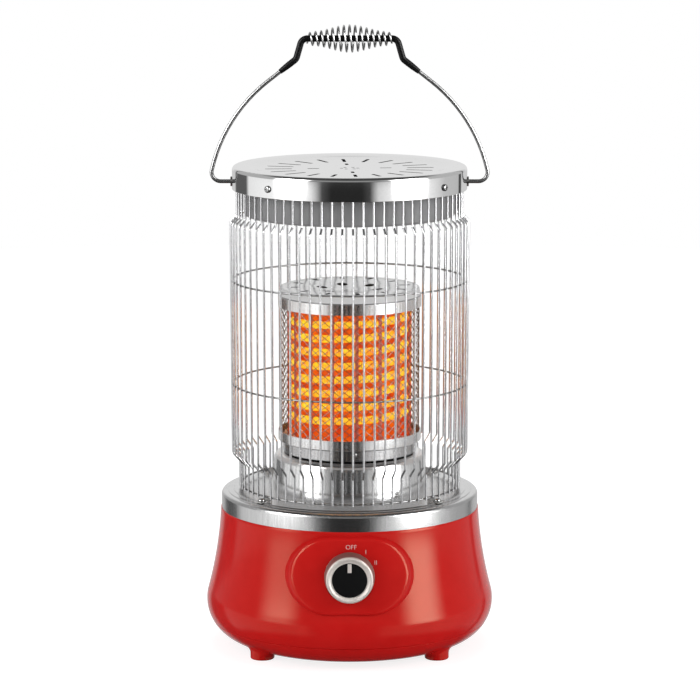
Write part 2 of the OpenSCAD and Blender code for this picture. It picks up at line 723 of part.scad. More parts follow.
module lower_tray() {
    color("silver") difference() {
        rotate_extrude() polygon([[0, tray_z], [spigot_r - band_t, tray_z],
            [spigot_r - band_t, tray_z - spigot_h], [spigot_r, tray_z - spigot_h], [spigot_r, tray_z],
            [band_r, tray_z], [band_r, tray_z + tray_h],
            [band_r - band_t, tray_z + tray_h], [band_r - band_t, tray_z + band_t], [0, tray_z + band_t]]);
        translate([0, 0, tray_z]) cylinder(h = 6, r = tie_hole_r, center = true);
        for (a = holder_screw_angles) at_angle(a, holder_r, tray_z - spigot_h / 2) rotate([0, 90, 0])
            cylinder(h = 8, d = holder_hole_d, center = true);
        for (p = terminal_spots) translate([p[0], p[1], tray_z])
            cylinder(h = 6, d = bush_hole_d, center = true);
    }
}

bush_d = 10;
bush_hole_d = bush_d + 0.4;
stud_hole_d = stud_d + 0.4;
stud_low = tray_z - 5;
bush_low = tray_z - 4;
terminal_low = core_low + 4;
low_terminal_x = tail_low[0] + weld_gap + terminal_size / 2;
high_terminal_x = tail_high[0] - weld_gap - terminal_size / 2;
terminal_spots = [[low_terminal_x, terminal_y], [return_r, 0]];

module lower_insulator() {
    color("linen") translate([0, 0, tray_z + band_t]) difference() {
        cylinder(h = insulator_t, r = insulator_r);
        translate([0, 0, -1]) cylinder(h = insulator_t + 2, r = tie_hole_r);
        for (p = terminal_spots) translate([p[0], p[1], -1]) cylinder(h = insulator_t + 2, d = bush_hole_d);
    }
}

// Former with ribs that the winding is threaded through
module ceramic_core() {
    rib_root = core_r - 3;
    color("rosybrown") difference() {
        translate([0, 0, core_low]) linear_extrude(core_high - core_low) difference() {
            union() {
                circle(r = core_r);
                for (a = rib_angles) rotate(a - 90) translate([rib_root, -rib_w / 2])
                    square([rib_r - rib_root, rib_w]);
            }
            circle(r = core_bore_r);
        }
        for (a = rib_angles) for (k = [0:winding_turns - 1])
            at_angle(a, winding_r, winding_low + winding_pitch * (k + (a + 180) % 360 / 360))
                rotate([90, 0, 0]) cylinder(h = 2 * rib_w, d = winding_d + 2 * thread_gap, center = true);
    }
}

module heating_winding() {
    echo(winding_least_gap = least_gap(winding_body, winding_steps, winding_d));
    color("orange") swept_tube(winding_points, winding_out, winding_d);
}

module upper_insulator() {
    color("linen") translate([0, 0, core_high]) difference() {
        cylinder(h = insulator_t, r = insulator_r);
        translate([0, 0, -1]) cylinder(h = insulator_t + 2, r = tie_hole_r);
        translate([return_r, 0, -1]) cylinder(h = insulator_t + 2, d = stud_hole_d);
        translate([high_terminal_x, terminal_y, -1]) cylinder(h = insulator_t + 2, d = stud_hole_d);
    }
}

// A terminal that meets the winding's low end, and one at its high end with a strap and a return rod
module element_terminals() {
    half = terminal_size / 2;
    lap = 1;
    strap_z = core_high + insulator_t;
    strap_w = 6;
    strap_t = 1.2;
    strap_run = [return_r - high_terminal_x, -terminal_y];
    low_top = tail_low[2] + winding_d / 2 + lap;
    high_low = tail_high[2] - winding_d / 2 - lap;
    color("goldenrod") {
        translate([low_terminal_x - half, terminal_y - half, terminal_low])
            cube([terminal_size, terminal_size, low_top - terminal_low]);
        translate([low_terminal_x, terminal_y, stud_low])
            cylinder(h = terminal_low + lap - stud_low, d = stud_d);
        translate([high_terminal_x - half, terminal_y - half, high_low])
            cube([terminal_size, terminal_size, core_high - high_low]);
        translate([high_terminal_x, terminal_y, core_high - lap])
            cylinder(h = insulator_t + 2 * lap, d = stud_d);
        translate([high_terminal_x, terminal_y, strap_z]) rotate([0, 0, atan2(strap_run[1], strap_run[0])])
            translate([-strap_w / 2, -strap_w / 2, 0]) cube([norm(strap_run) + strap_w, strap_w, strap_t]);
        translate([return_r, 0, stud_low]) cylinder(h = strap_z + lap - stud_low, d = stud_d);
    }
}

module terminal_bushes() {
    color("ivory") for (p = terminal_spots) translate([p[0], p[1], bush_low]) difference() {
        cylinder(h = terminal_low - bush_low, d = bush_d);
        translate([0, 0, -1]) cylinder(h = terminal_low - bush_low + 2, d = stud_d + 0.2);
    }
}

module element_mesh() {
    row_pitch = (cap_z - cap_h - tray_z - tray_h) / (mesh_rows + 1);
    col_pitch = 2 * PI * mesh_r / mesh_cols;
    half_w = col_pitch / 2 - strand_w * 0.7;
    half_h = row_pitch - strand_w * 0.7;
    color("gainsboro") difference() {
        translate([0, 0, mesh_low]) difference() {
            cylinder(h = mesh_high - mesh_low, r = mesh_r);
            translate([0, 0, -1]) cylinder(h = mesh_high - mesh_low + 2, r = mesh_r - mesh_t);
        }
        for (j = [1:mesh_rows]) for (i = [0:mesh_cols - 1])
            rotate([0, 0, 360 * (i + (j % 2) / 2) / mesh_cols])
                translate([mesh_r - 3, 0, tray_z + tray_h + row_pitch * j]) rotate([90, 0, 90])
                    linear_extrude(6) polygon([[-half_w, 0], [0, -half_h], [half_w, 0], [0, half_h]]);
    }
}

// A band with a rounded edge and a shallow dish in its top, which clears the nut below it
module element_cap() {
    corner = [band_r - cap_lean - cap_corner_r, cap_z - cap_corner_r];
    sink = cap_z - nut_top - band_t - 2 * rod_end;
    dish = [[cap_dish_r, cap_z], [cap_dish_r - cap_step, cap_z - sink / 3], [cap_floor_r, cap_z - sink],
        [0, cap_z - sink]];
    color("silver") difference() {
        rotate_extrude() polygon(concat([[band_r - band_t, cap_z - cap_h], [band_r, cap_z - cap_h],
            [band_r, crown_z]], arc(corner, cap_corner_r, 0, 90, 6), dish,
            reversed([for (p = dish) p - [0, band_t]]), arc(corner, cap_corner_r - band_t, 90, 0, 6),
            [[band_r - band_t, crown_z]]));
        translate([0, 0, cap_z]) {
            for (i = [0:cap_hole_count - 1]) rotate([0, 0, cap_hole_turn + 360 * i / cap_hole_count])
                translate([cap_hole_ring_r, 0, 0]) cylinder(h = 4 * cap_crown_h, d = cap_hole_d, center = true);
            for (i = [0:cap_slot_count - 1]) rotate([0, 0, cap_slot_turn + 360 * i / cap_slot_count])
                slot(cap_dish_r + cap_step, cap_slot_out, cap_slot_w, 6);
            for (i = [0:5]) rotate([0, 0, 60 * i]) translate([cap_floor_r / 2, 0, 0])
                cylinder(h = 4 * cap_crown_h, d = cap_star_d, center = true);
        }
    }
}

module tie_rod() {
    low = deck_under - nut_h - 4;
    color("silver") translate([0, 0, low]) cylinder(h = nut_top + rod_end - low, d = tie_d);
}

// Nuts under the deck and on the upper insulator
module tie_nuts() {
    color("gainsboro") for (z = [deck_under - nut_h, core_high + insulator_t]) translate([0, 0, z])
        difference() {
            cylinder(h = nut_h, d = nut_d, $fn = 6);
            translate([0, 0, -1]) cylinder(h = nut_h + 2, d = tie_d + 0.2);
        }
}

module guard_wires() {
    color("gainsboro") for (i = [0:wire_count - 1])
        rotate([0, 0, wire_turn - 90 + 360 * i / wire_count]) bent_rod(wire_path, wire_bends, wire_d);
}

module guard_ring_bottom() {
    color("silver") ring_wire(low_neck_r - ring_in, bottom_ring_z);
}

module guard_ring_lower() {
    color("silver") ring_wire(barrel_r_at(deck_z + low_ring_z) - ring_in, deck_z + low_ring_z);
}

module guard_ring_upper() {
    color("silver") ring_wire(barrel_r_at(deck_z + high_ring_z) - ring_in, deck_z + high_ring_z);
}

module guard_ring_top() {
    color("silver") ring_wire(top_neck_r - ring_in, top_ring_z);
}

module heat_shield() {
    edge = 3;
    edge_c = [shield_r - edge, shield_low + edge];
    vent_in = 34;
    vent_out = 76;
    color("gray") difference() {
        rotate_extrude() polygon(concat([[0, shield_low]], arc(edge_c, edge, -90, 0, 6),
            [[shield_r, wire_high], [top_neck_r + 0.6, wire_high], [top_neck_r + 0.6, wire_high + shield_t],
             [shield_r - shield_t, wire_high + shield_t]],
            arc(edge_c, edge - shield_t, 0, -90, 6), [[0, shield_low + shield_t]]));
        for (i = [0:11]) rotate([0, 0, 30 * i]) translate([0, 0, shield_low]) slot(vent_in, vent_out, 7, 6);
    }
}

// Angle pieces welded to the wires: a lip over the shield's flange and a face for the lid's screw
module lid_brackets() {
    low = lid_low + slip_gap;
    high = lid_screw_z + 1.5 * lid_screw_d;
    lip_z = wire_high + shield_t + 0.05;
    lip_high = lip_z + sheet;
    lip_in = bracket_in - bracket_lip;
    out = bracket_in + bracket_t;
    color("silver") for (a = lid_screw_angles) difference() {
        rotate([0, 0, a - 90 - bracket_span / 2]) rotate_extrude(angle = bracket_span)
            polygon([[bracket_in, low], [out, low], [out, high], [bracket_in, high], [bracket_in, lip_high],
                [lip_in, lip_high], [lip_in, lip_z], [bracket_in, lip_z]]);
        at_angle(a, lid_in, lid_screw_z) rotate([0, 90, 0])
            cylinder(h = 4 * bracket_lip, d = lid_screw_d + 0.2, center = true);
    }
}

lid_screw_d = 4;

module lid() {
    edge_c = [lid_r - lid_edge_r, lid_high - lid_edge_r];
    sunk_z = lid_high - lid_recess;
    color("silver") difference() {
        rotate_extrude() polygon(concat([[lid_in, lid_low], [lid_r, lid_low]],
            arc(edge_c, lid_edge_r, 0, 90, 8),
            [[sunk_r + sunk_step, lid_high], [sunk_r, sunk_z], [0, sunk_z], [0, sunk_z - sheet],
             [sunk_r, sunk_z - sheet], [sunk_r + sunk_step, lid_high - sheet]],
            arc(edge_c, lid_edge_r - sheet, 90, 0, 8)));
        translate([0, 0, sunk_z]) rotate([0, 0, lid_turn]) {
            for (i = [0:lid_slot_count - 1]) rotate([0, 0, 90 + 360 * i / lid_slot_count])
                slot(lid_slot_in, lid_slot_out, slot_w, 6);
            for (i = [0:3]) rotate([0, 0, 90 * i]) slot(30, 42, slot_w, 6);
            for (i = [0:5]) rotate([0, 0, 60 * i]) translate([8, 0, 0])
                cylinder(h = 6, d = slot_w, center = true);
        }
        for (a = lid_screw_angles) at_angle(a, lid_in, lid_screw_z) rotate([0, 90, 0])
            cylinder(h = 8, d = lid_screw_d + 0.4, center = true);
        for (s = [-1, 1]) translate([s * lid_in, 0, pivot_z]) rotate([0, 90, 0])
            cylinder(h = 8, r = bush_barrel_r + 0.05, center = true);
    }
}

bush_barrel_r = bail_d / 2 + run_fit + 0.9;

module lid_screws() {
    color("gainsboro") for (a = lid_screw_angles) at_angle(a, lid_r + 0.05, lid_screw_z)
        rotate([0, 90, 0]) pan_screw(9, lid_screw_d);
}

module bail_bushes() {
    inner_x = lid_in - 0.2 - bush_lip;
    outer_x = lid_r + 0.02;
    color("gainsboro") for (s = [0, 180]) rotate([0, 0, s]) translate([0, 0, pivot_z]) rotate([0, 90, 0])
    difference() {
        union() {
            translate([0, 0, inner_x]) cylinder(h = outer_x + bush_flange - inner_x, r = bush_barrel_r);
            translate([0, 0, inner_x]) cylinder(h = bush_lip, r = bush_barrel_r + 0.5);
            translate([0, 0, outer_x]) cylinder(h = bush_flange, r = bush_barrel_r + 2);
        }
        translate([0, 0, inner_x - 1])
            cylinder(h = outer_x + bush_flange + 2 - inner_x, r = bail_d / 2 + run_fit);
    }
}

module bail_wire() {
    color("silver") bent_rod(mirrored(bail_half), concat(bail_bends, reversed(bail_bends)), bail_d);
}

module bail_clips() {
    clip_x = lid_in - 0.2 - bush_lip - slip_gap - clip_t;
    color("dimgray") for (s = [0, 180]) rotate([0, 0, s]) translate([clip_x, 0, pivot_z]) rotate([0, 90, 0])
    difference() {
        cylinder(h = clip_t, r = clip_r);
        translate([0, 0, -1]) cylinder(h = clip_t + 2, d = bail_d + 2 * run_fit);
    }
}

module grip_sleeve() {
    bends = concat(sleeve_bends, reversed(sleeve_bends));
    color("#222222") difference() {
        bent_rod(mirrored(sleeve_half), bends, sleeve_d);
        bent_rod(mirrored(bail_half), concat(bail_bends, reversed(bail_bends)), bail_d + 2 * run_fit);
    }
}

// Coil grip: tight on the sleeve at both ends, open within a turn and barrelled between them
grip_end_r = sleeve_d / 2 + grip_wire_d / 2 + 0.2;
grip_mid_r = grip_d / 2 - grip_wire_d / 2;
grip_neck_r = grip_neck_d / 2 - grip_wire_d / 2;
function grip_open(t) = sin(90 * min(1, grip_turns * min(t, 1 - t)));
function grip_radius(t) = grip_end_r + (grip_neck_r - grip_end_r) * grip_open(t)
    + (grip_mid_r - grip_neck_r) * pow(sin(180 * t), 2.6);
function on_grip(t) = let (a = 360 * grip_turns * t)
    [grip_half * (2 * t - 1), grip_radius(t) * sin(a), grip_z - grip_radius(t) * cos(a)];
grip_count = grip_turns * grip_steps;
grip_body = [for (i = [0:grip_count]) on_grip(i / grip_count)];
grip_tail = [0, grip_wire_d, 0];
grip_points = concat([grip_body[0] - grip_tail], grip_body, [grip_body[grip_count] + grip_tail]);
grip_out = [for (p = grip_points) unit([0, p[1], p[2] - grip_z])];

module grip_spring() {
    echo(grip_least_gap = least_gap(grip_body, grip_steps, grip_wire_d));
    color("silver") swept_tube(grip_points, grip_out, grip_wire_d);
}

module switch_body() {
    bush_len = 6;
    color("ivory") difference() {
        union() {
            translate([-switch_size / 2, -switch_y, panel_z - switch_size / 2])
                cube([switch_size, switch_depth, switch_size]);
            translate([-switch_post_x - 5, -switch_y, panel_z - 7]) cube([2 * switch_post_x + 10, ear_t, 14]);
            facing_front(switch_y, panel_z) cylinder(h = bush_len, d = shaft_d + 5);
        }
        facing_front(switch_y - switch_depth / 2, panel_z)
            cylinder(h = switch_depth, d = shaft_d + 2 * run_fit);
        for (x = [-switch_post_x, switch_post_x]) translate([x, 0, 0]) facing_front(switch_y - 10, panel_z)
            cylinder(h = 20, d = screw_hole_d);
    }
}

module switch_screws() {
    color("silver") for (x = [-switch_post_x, switch_post_x]) translate([x, ear_t - switch_y, panel_z])
        rotate([-90, 0, 0]) pan_screw(10, screw_d, 6, 2);
}

module switch_shaft() {
    shaft_in = switch_y - switch_depth / 2 + 1;
    color("silver") facing_front(shaft_in, panel_z)
        cylinder(h = knob_back + knob_bore - 0.5 - shaft_in, d = shaft_d);
}

module knob_hub() {
    color("#1c1c1c") difference() {
        facing_front(knob_back, panel_z) cylinder(h = hub_front - knob_back, r = hub_r);
        facing_front(knob_back - 1, panel_z) cylinder(h = knob_bore + 1, d = shaft_d + 2 * run_fit);
    }
}

module knob_ring() {
    lip = 0.8;
    front_r = knob_d / 2;
    back_r = front_r + knob_flare;
    color("lightgray") facing_front(knob_back, panel_z) rotate_extrude() polygon(concat(
        [[hub_r + run_fit, 0], [back_r, 0], [back_r, 2]],
        arc([front_r - 2.5, knob_depth - 2.5], 2.5, 0, 90, 6),
        [[hub_r + run_fit + 2.2, knob_depth], [hub_r + run_fit + 1.2, knob_depth - lip],
         [hub_r + run_fit, knob_depth - lip]]));
}

module knob_face() {
    edge = 0.6;
    rim = hub_r - 0.02;
    color("#161616") facing_front(hub_front, panel_z) rotate_extrude() polygon(concat([[0, 0], [rim, 0]],
        arc([rim - edge, face_t - edge], edge, 0, 90, 4), [[0, face_t]]));
}

module knob_pointer() {
    rise = 0.7;
    tip_z = panel_z + hub_r - 0.8;
    color("lightgray") translate([-pointer_w / 2, -hub_front - face_t - rise, tip_z - pointer_len])
        cube([pointer_w, rise, pointer_len]);
}

module terminal_block() {
    low = floor_z + boss_h;
    corner = [block_at[0] - block_size[0] / 2, block_at[1] - block_size[1] / 2, low];
    color("ivory") translate(corner) difference() {
        cube(block_size);
        for (x = [-1, 1]) translate([block_size[0] / 2 + x * block_screw_x, block_size[1] / 2, -1])
            cylinder(h = block_size[2] + 2, d = screw_hole_d);
        for (x = [-1, 0, 1]) translate([block_size[0] / 2 + block_hole_x * x, -1, block_hole_h])
            rotate([-90, 0, 0]) cylinder(h = 8, d = lead_d + 1);
    }
}

module terminal_screws() {
    top = floor_z + boss_h + block_size[2];
    color("silver") for (x = [-1, 1]) translate([block_at[0] + x * block_screw_x, block_at[1], top])
        pan_screw(block_size[2] + boss_h - 0.5);
}

module thermal_cutout() {
    ear_w = 8;
    ear_t = 1;
    color("black") translate([cutout_at[0], cutout_at[1], deck_under]) difference() {
        union() {
            translate([0, 0, -cutout_h]) cylinder(h = cutout_h, d = cutout_d);
            translate([-cutout_ear - ear_w / 2, -ear_w / 2, -ear_t])
                cube([2 * cutout_ear + ear_w, ear_w, ear_t]);
        }
        for (x = [-cutout_ear, cutout_ear]) translate([x, 0, -2 * ear_t])
            cylinder(h = 4 * ear_t, d = rivet_d + 0.2);
    }
}

module cutout_rivets() {
    low = deck_under - 2;
    color("silver") for (x = [-cutout_ear, cutout_ear]) translate([cutout_at[0] + x, cutout_at[1], 0]) {
        translate([0, 0, low]) cylinder(h = deck_z + rivet_head_h / 2 - low, d = rivet_d);
        for (z = [low, deck_z]) translate([0, 0, z]) cylinder(h = rivet_head_h, d = rivet_head_d);
    }
}

module tip_switch() {
    low = floor_z;
    ear_w = 10;
    color("black") difference() {
        union() {
            translate([tip_at[0] - tip_size[0] / 2, tip_at[1] - tip_size[1] / 2, low])
                cube([tip_size[0], tip_size[1], tip_top - low]);
            translate([tip_at[0] - tip_screw_x - ear_w / 2, tip_at[1] - ear_w / 2, low + boss_h])
                cube([2 * tip_screw_x + ear_w, ear_w, tip_ear_t]);
        }
        translate([tip_at[0], tip_at[1], 0]) {
            cylinder(h = tip_roof, r = tip_d / 2 + run_fit);
            translate([0, 0, low + 2]) cylinder(h = tip_roof - low - 2, r = tip_collar_r + slip_gap);
        }
        for (x = [-1, 1]) translate([tip_at[0] + x * tip_screw_x, tip_at[1], low - 1]) {
            cylinder(h = boss_h + 1, d = boss_d + 2 * slip_gap);
            cylinder(h = boss_h + tip_ear_t + 2, d = screw_hole_d);
        }
    }
}

module tip_screws() {
    top = floor_z + boss_h + tip_ear_t;
    color("silver") for (x = [-1, 1]) translate([tip_at[0] + x * tip_screw_x, tip_at[1], top])
        pan_screw(boss_h + tip_ear_t - 0.6, screw_d, 6, 2);
}

module tip_plunger() {
    color("white") translate([tip_at[0], tip_at[1], 0]) rotate_extrude() polygon(concat([[0, 0]],
        arc([tip_d / 2 - 1, 1], 1, -90, 0, 4),
        [[tip_d / 2, tip_collar_z], [tip_collar_r, tip_collar_z], [tip_collar_r, tip_collar_z + tip_collar_t],
         [1.5, tip_collar_z + tip_collar_t], [1.5, tip_collar_z + tip_collar_t + 3],
         [0, tip_collar_z + tip_collar_t + 3]]));
}

// Return spring between the plunger's collar and the roof of its housing
tip_spring_wire = 0.8;
tip_spring_turns = 5;
tip_spring_r = tip_collar_r - tip_spring_wire;
tip_spring_low = tip_collar_z + tip_collar_t + tip_spring_wire / 2 + 0.1;
tip_spring_high = tip_roof - tip_spring_wire / 2 - 0.1;
tip_spring_points = [for (i = [0:tip_spring_turns * grip_steps]) let (t = i / (tip_spring_turns * grip_steps))
    [tip_at[0] + tip_spring_r * cos(360 * tip_spring_turns * t),
     tip_at[1] + tip_spring_r * sin(360 * tip_spring_turns * t),
     tip_spring_low + (tip_spring_high - tip_spring_low) * t]];
tip_spring_out = [for (p = tip_spring_points) unit([p[0] - tip_at[0], p[1] - tip_at[1], 0])];

module tip_spring() {
    echo(tip_spring_least_gap = least_gap(tip_spring_points, grip_steps, tip_spring_wire));
    color("silver") swept_tube(tip_spring_points, tip_spring_out, tip_spring_wire);
}

// Leads inside the base: block to switch, switch to cutout, cutout to the terminals under the tray
block_lead_z = floor_z + boss_h + block_hole_h;
block_front = block_at[1] - block_size[1] / 2;
switch_rear = switch_depth - switch_y;
lead_drop = deck_under - cutout_h;
low_run_z = stud_low - 2.4;
lead_routes = [
    [[-9, block_front + 5, block_lead_z], [-9, block_front - 10, block_lead_z], [-9, 20, 40], [-9, -40, 70],
     [-9, switch_rear + 12, panel_z], [-9, switch_rear + 0.2, panel_z]],
    [[9, switch_rear + 0.2, panel_z], [9, switch_rear + 12, panel_z], [9, -30, 110], [5, 20, 128],
     [4, cutout_at[1], lead_drop - 12], [4, cutout_at[1], lead_drop - 0.2]],
    [[-4, cutout_at[1], lead_drop - 0.2], [-4, cutout_at[1], lead_drop - 12], [-5, 10, 130],
     [-4, lead_hole_at[1], deck_under - 4], [-4, lead_hole_at[1], deck_z + 12], [-10, -10, deck_z + 18],
     [-10, 12, deck_z + 26], [4, 30, low_run_z], [low_terminal_x - 1, terminal_y - 8, low_run_z],
     [low_terminal_x, terminal_y, low_run_z + 0.6], [low_terminal_x, terminal_y, stud_low - 0.2]],
    [[9, block_front + 5, block_lead_z], [9, block_front - 10, block_lead_z], [14, 30, 60], [12, -10, 120],
     [4, lead_hole_at[1], deck_under - 4], [4, lead_hole_at[1], deck_z + 12],
     [return_r - 4, -4, stud_low - 12], [return_r, 0, stud_low - 4], [return_r, 0, stud_low - 0.2]]];

module internal_leads() {
    color("dimgray") for (p = lead_routes)
        swept_tube(p, [for (i = [0:len(p) - 1]) [1, 0.15, 0.1]], lead_d);
}

module cord_gland() {
    gland_y = base_r;
    body_r = gland_bore_d / 2 + gland_wall;
    flange_r = body_r + 3.5;
    color("black") translate([0, gland_y, gland_z]) rotate([90, 0, 0]) difference() {
        union() {
            translate([0, 0, -gland_flange]) cylinder(h = gland_flange - 0.05, r = flange_r);
            translate([0, 0, -gland_flange]) cylinder(h = gland_len, r = body_r);
            translate([0, 0, base_wall + gland_nut_gap]) cylinder(h = gland_nut_h, r = flange_r, $fn = 6);
        }
        translate([0, 0, -gland_flange - 1]) cylinder(h = gland_len + 2, d = gland_bore_d);
    }
}

base_shell();
control_panel();
bottom_cover();
bottom_screws();
deck();
cage_tabs();
tab_screws();
pedestal();
element_holder();
holder_screws();
lower_tray();
lower_insulator();
ceramic_core();
heating_winding();
upper_insulator();
element_terminals();
terminal_bushes();
element_mesh();
element_cap();
tie_rod();
tie_nuts();
guard_wires();
guard_ring_bottom();
guard_ring_lower();
guard_ring_upper();
guard_ring_top();
heat_shield();
lid_brackets();
lid();
lid_screws();
bail_bushes();
bail_wire();
bail_clips();
grip_sleeve();
grip_spring();
switch_body();
switch_screws();
switch_shaft();
knob_hub();
knob_ring();
knob_face();
knob_pointer();
terminal_block();
terminal_screws();
thermal_cutout();
cutout_rivets();
tip_switch();
tip_screws();
tip_plunger();
tip_spring();
internal_leads();
cord_gland();
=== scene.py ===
from math import atan2, cos, degrees, hypot, pi, radians, sin, sqrt, tan
import bmesh
import bpy
from mathutils import Matrix, Vector


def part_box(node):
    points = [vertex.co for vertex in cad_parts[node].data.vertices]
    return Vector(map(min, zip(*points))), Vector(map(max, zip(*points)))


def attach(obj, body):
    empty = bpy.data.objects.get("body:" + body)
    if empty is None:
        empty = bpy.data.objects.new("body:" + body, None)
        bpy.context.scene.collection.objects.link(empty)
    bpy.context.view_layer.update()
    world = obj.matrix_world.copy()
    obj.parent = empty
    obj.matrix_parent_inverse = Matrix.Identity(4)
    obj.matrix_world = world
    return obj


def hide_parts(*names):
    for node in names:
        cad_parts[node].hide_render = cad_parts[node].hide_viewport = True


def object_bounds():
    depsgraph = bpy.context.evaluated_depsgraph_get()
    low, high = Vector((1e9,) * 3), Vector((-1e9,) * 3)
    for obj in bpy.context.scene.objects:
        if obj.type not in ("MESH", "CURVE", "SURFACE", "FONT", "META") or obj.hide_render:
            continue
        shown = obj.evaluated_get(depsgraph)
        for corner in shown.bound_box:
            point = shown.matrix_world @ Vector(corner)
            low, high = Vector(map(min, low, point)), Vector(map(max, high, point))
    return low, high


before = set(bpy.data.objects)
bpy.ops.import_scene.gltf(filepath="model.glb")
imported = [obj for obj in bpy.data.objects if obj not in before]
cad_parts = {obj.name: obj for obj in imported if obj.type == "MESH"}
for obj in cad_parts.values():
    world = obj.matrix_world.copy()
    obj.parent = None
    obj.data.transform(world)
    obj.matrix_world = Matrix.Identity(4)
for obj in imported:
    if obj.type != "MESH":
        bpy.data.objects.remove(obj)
cad_low, cad_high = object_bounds()
scene = bpy.context.scene
scene.view_settings.view_transform = "Standard"


# Camera: it stands in front of the heater and a little above it, with a long lens
# that sees the heater almost without perspective.
CAMERA_AT = (0.0004, -3.2548, 0.8420)
CAMERA_DIP = radians(9.5)
SENSOR_W = 36.0
FOCAL_PIXELS = 3300.0
IMAGE_PIXELS = 700.0

camera_data = bpy.data.cameras.new("camera")
camera_data.sensor_width = SENSOR_W
camera_data.lens = SENSOR_W * FOCAL_PIXELS / IMAGE_PIXELS
camera = bpy.data.objects.new("camera", camera_data)
camera.location = CAMERA_AT
camera.rotation_euler = (pi / 2 - CAMERA_DIP, 0, 0)
scene.collection.objects.link(camera)
scene.camera = camera


# Floor and light: a sheet of white paper, a soft lamp on either side of the camera and one overhead.
# Polished metal sees a pale room with two bright strips of light and dark gaps between its walls.
FLOOR_R = 3.0
FLOOR_SIDES = 96
FLOOR_GLOW = 0.83
FLOOR_TONE = 0.35
FLOOR_BOUNCE = 0.8
ROOM_AMBIENT = 0.5
# Walls of the room below and above the heater's horizon: angle to the right of the camera, and brightness
ROOM_LOW = ((-180, 0.60), (-152, 0.60), (-147, 0.10), (-121, 0.10), (-116, 0.80), (-72, 0.98),
            (-46, 0.95), (-38, 0.82), (-33, 0.50), (-27, 0.07), (-18, 0.02), (12, 0.02),
            (20, 0.06), (28, 0.66), (46, 0.98), (76, 1.0), (96, 0.68), (106, 0.52),
            (133, 0.48), (135, 0.06), (140, 0.06), (142, 0.62), (180, 0.60))
ROOM_HIGH = ((-180, 0.75), (-162, 0.75), (-145, 0.42), (-45, 0.42), (-24, 0.10), (-14, 0.05), (10, 0.05),
             (20, 0.10), (40, 0.45), (145, 0.45), (162, 0.75), (180, 0.75))
# Least brightness of the walls higher up, and the brightness overhead and underfoot
ROOM_UP = 0.25
ROOM_TOP = 0.06
ROOM_BOTTOM = 0.06
# Heights, as sines, between which the room passes from one to the next
BOTTOM_TO_LOW = (-0.62, -0.42)
LOW_TO_HIGH = (-0.09, -0.04)
HIGH_TO_UP = (0.04, 0.16)
HIGH_TO_TOP = (0.60, 0.80)
# Strips of light: angle, half width, and brightness at the foot and at the head
STRIPS = ((-60, 13, 4.0, 12.0), (62, 14, 11.0, 11.0))
STRIP_FOOT = (-0.14, -0.05)
STRIP_HEAD = (0.64, 0.50)
STRIP_RISE = (0.05, 0.40)
STRIP_SOFT = 9
# A ray that has gone further than this from surface to surface doesn't see the strips
STRIP_DEPTH = 2.5
# Lamps: angle to the right of the camera, height angle, distance, width, height, power
LAMPS = {"lamp_left": (-62, 20, 2.6, 1.1, 1.5, 26.0),
         "lamp_right": (62, 20, 2.6, 1.1, 1.5, 28.0),
         "lamp_top": (180, 70, 2.4, 1.6, 1.6, 16.0)}


def plug(tree, value, socket):
    """Sets a socket to a value, or links it to another socket or to a node's first outlet."""
    if isinstance(value, bpy.types.Node):
        value = value.outputs[0]
    if isinstance(value, bpy.types.NodeSocket):
        tree.links.new(value, socket)
    else:
        socket.default_value = value


def add_node(tree, kind, settings=(), **sockets):
    """A shader or geometry node of a tree, with its settings made and its sockets plugged."""
    family = "ShaderNode" if hasattr(bpy.types, "ShaderNode" + kind) else "GeometryNode"
    node = tree.nodes.new(family + kind)
    for key, value in dict(settings).items():
        setattr(node, key, value)
    for key, value in sockets.items():
        plug(tree, value, node.inputs[key.replace("_", " ")])
    return node


def worked_out(tree, operation, *values):
    """The outcome of a sum in a tree."""
    node = add_node(tree, "Math", {"operation": operation})
    for value, socket in zip(values, node.inputs):
        plug(tree, value, socket)
    return node.outputs[0]


def times(tree, first, *others):
    """The product of several values in a tree."""
    for other in others:
        first = worked_out(tree, "MULTIPLY", first, other)
    return first


def on_axis(tree, place, axis):
    """How far a place lies along an axis."""
    return add_node(tree, "SeparateXYZ", Vector=place).outputs[axis]


def between(tree, value, limits, low=0.0, high=1.0, start=0.0, way="SMOOTHSTEP"):
    """A value that passes from low to high between two limits, counted from a start."""
    passing = add_node(tree, "MapRange", {"interpolation_type": way}, Value=value, From_Min=start + limits[0],
                       From_Max=start + limits[1], To_Min=low, To_Max=high)
    return passing.outputs["Result"]


def spot(tree, kind="Object"):
    """The place in a tree that is being shaded."""
    return add_node(tree, "TexCoord").outputs[kind]


def new_finish(name):
    """A new finish, its tree and the sockets of its shader."""
    material = bpy.data.materials.new(name)
    material.use_nodes = True
    return material, material.node_tree, material.node_tree.nodes["Principled BSDF"].inputs


def mixed(tree, share, first, second, blend="MIX"):
    """Two colours mixed by a share."""
    return add_node(tree, "MixRGB", {"blend_type": blend}, Fac=share, Color1=first, Color2=second)


def set_stops(ramp, stops):
    """Gives a colour ramp its stops, each a position and a colour."""
    elements = ramp.color_ramp.elements
    while len(elements) > 1:
        elements.remove(elements[-1])
    elements[0].position = stops[0][0]
    elements[0].color = stops[0][1]
    for position, color in stops[1:]:
        elements.new(position).color = color


def grey(level):
    return (level, level, level, 1)


def sight_paths(tree):
    """A tree's light path, and the share of its rays that the camera sees straight or through glass."""
    path = add_node(tree, "LightPath").outputs
    return path, worked_out(tree, "MAXIMUM", path["Is Camera Ray"], path["Is Transmission Ray"])


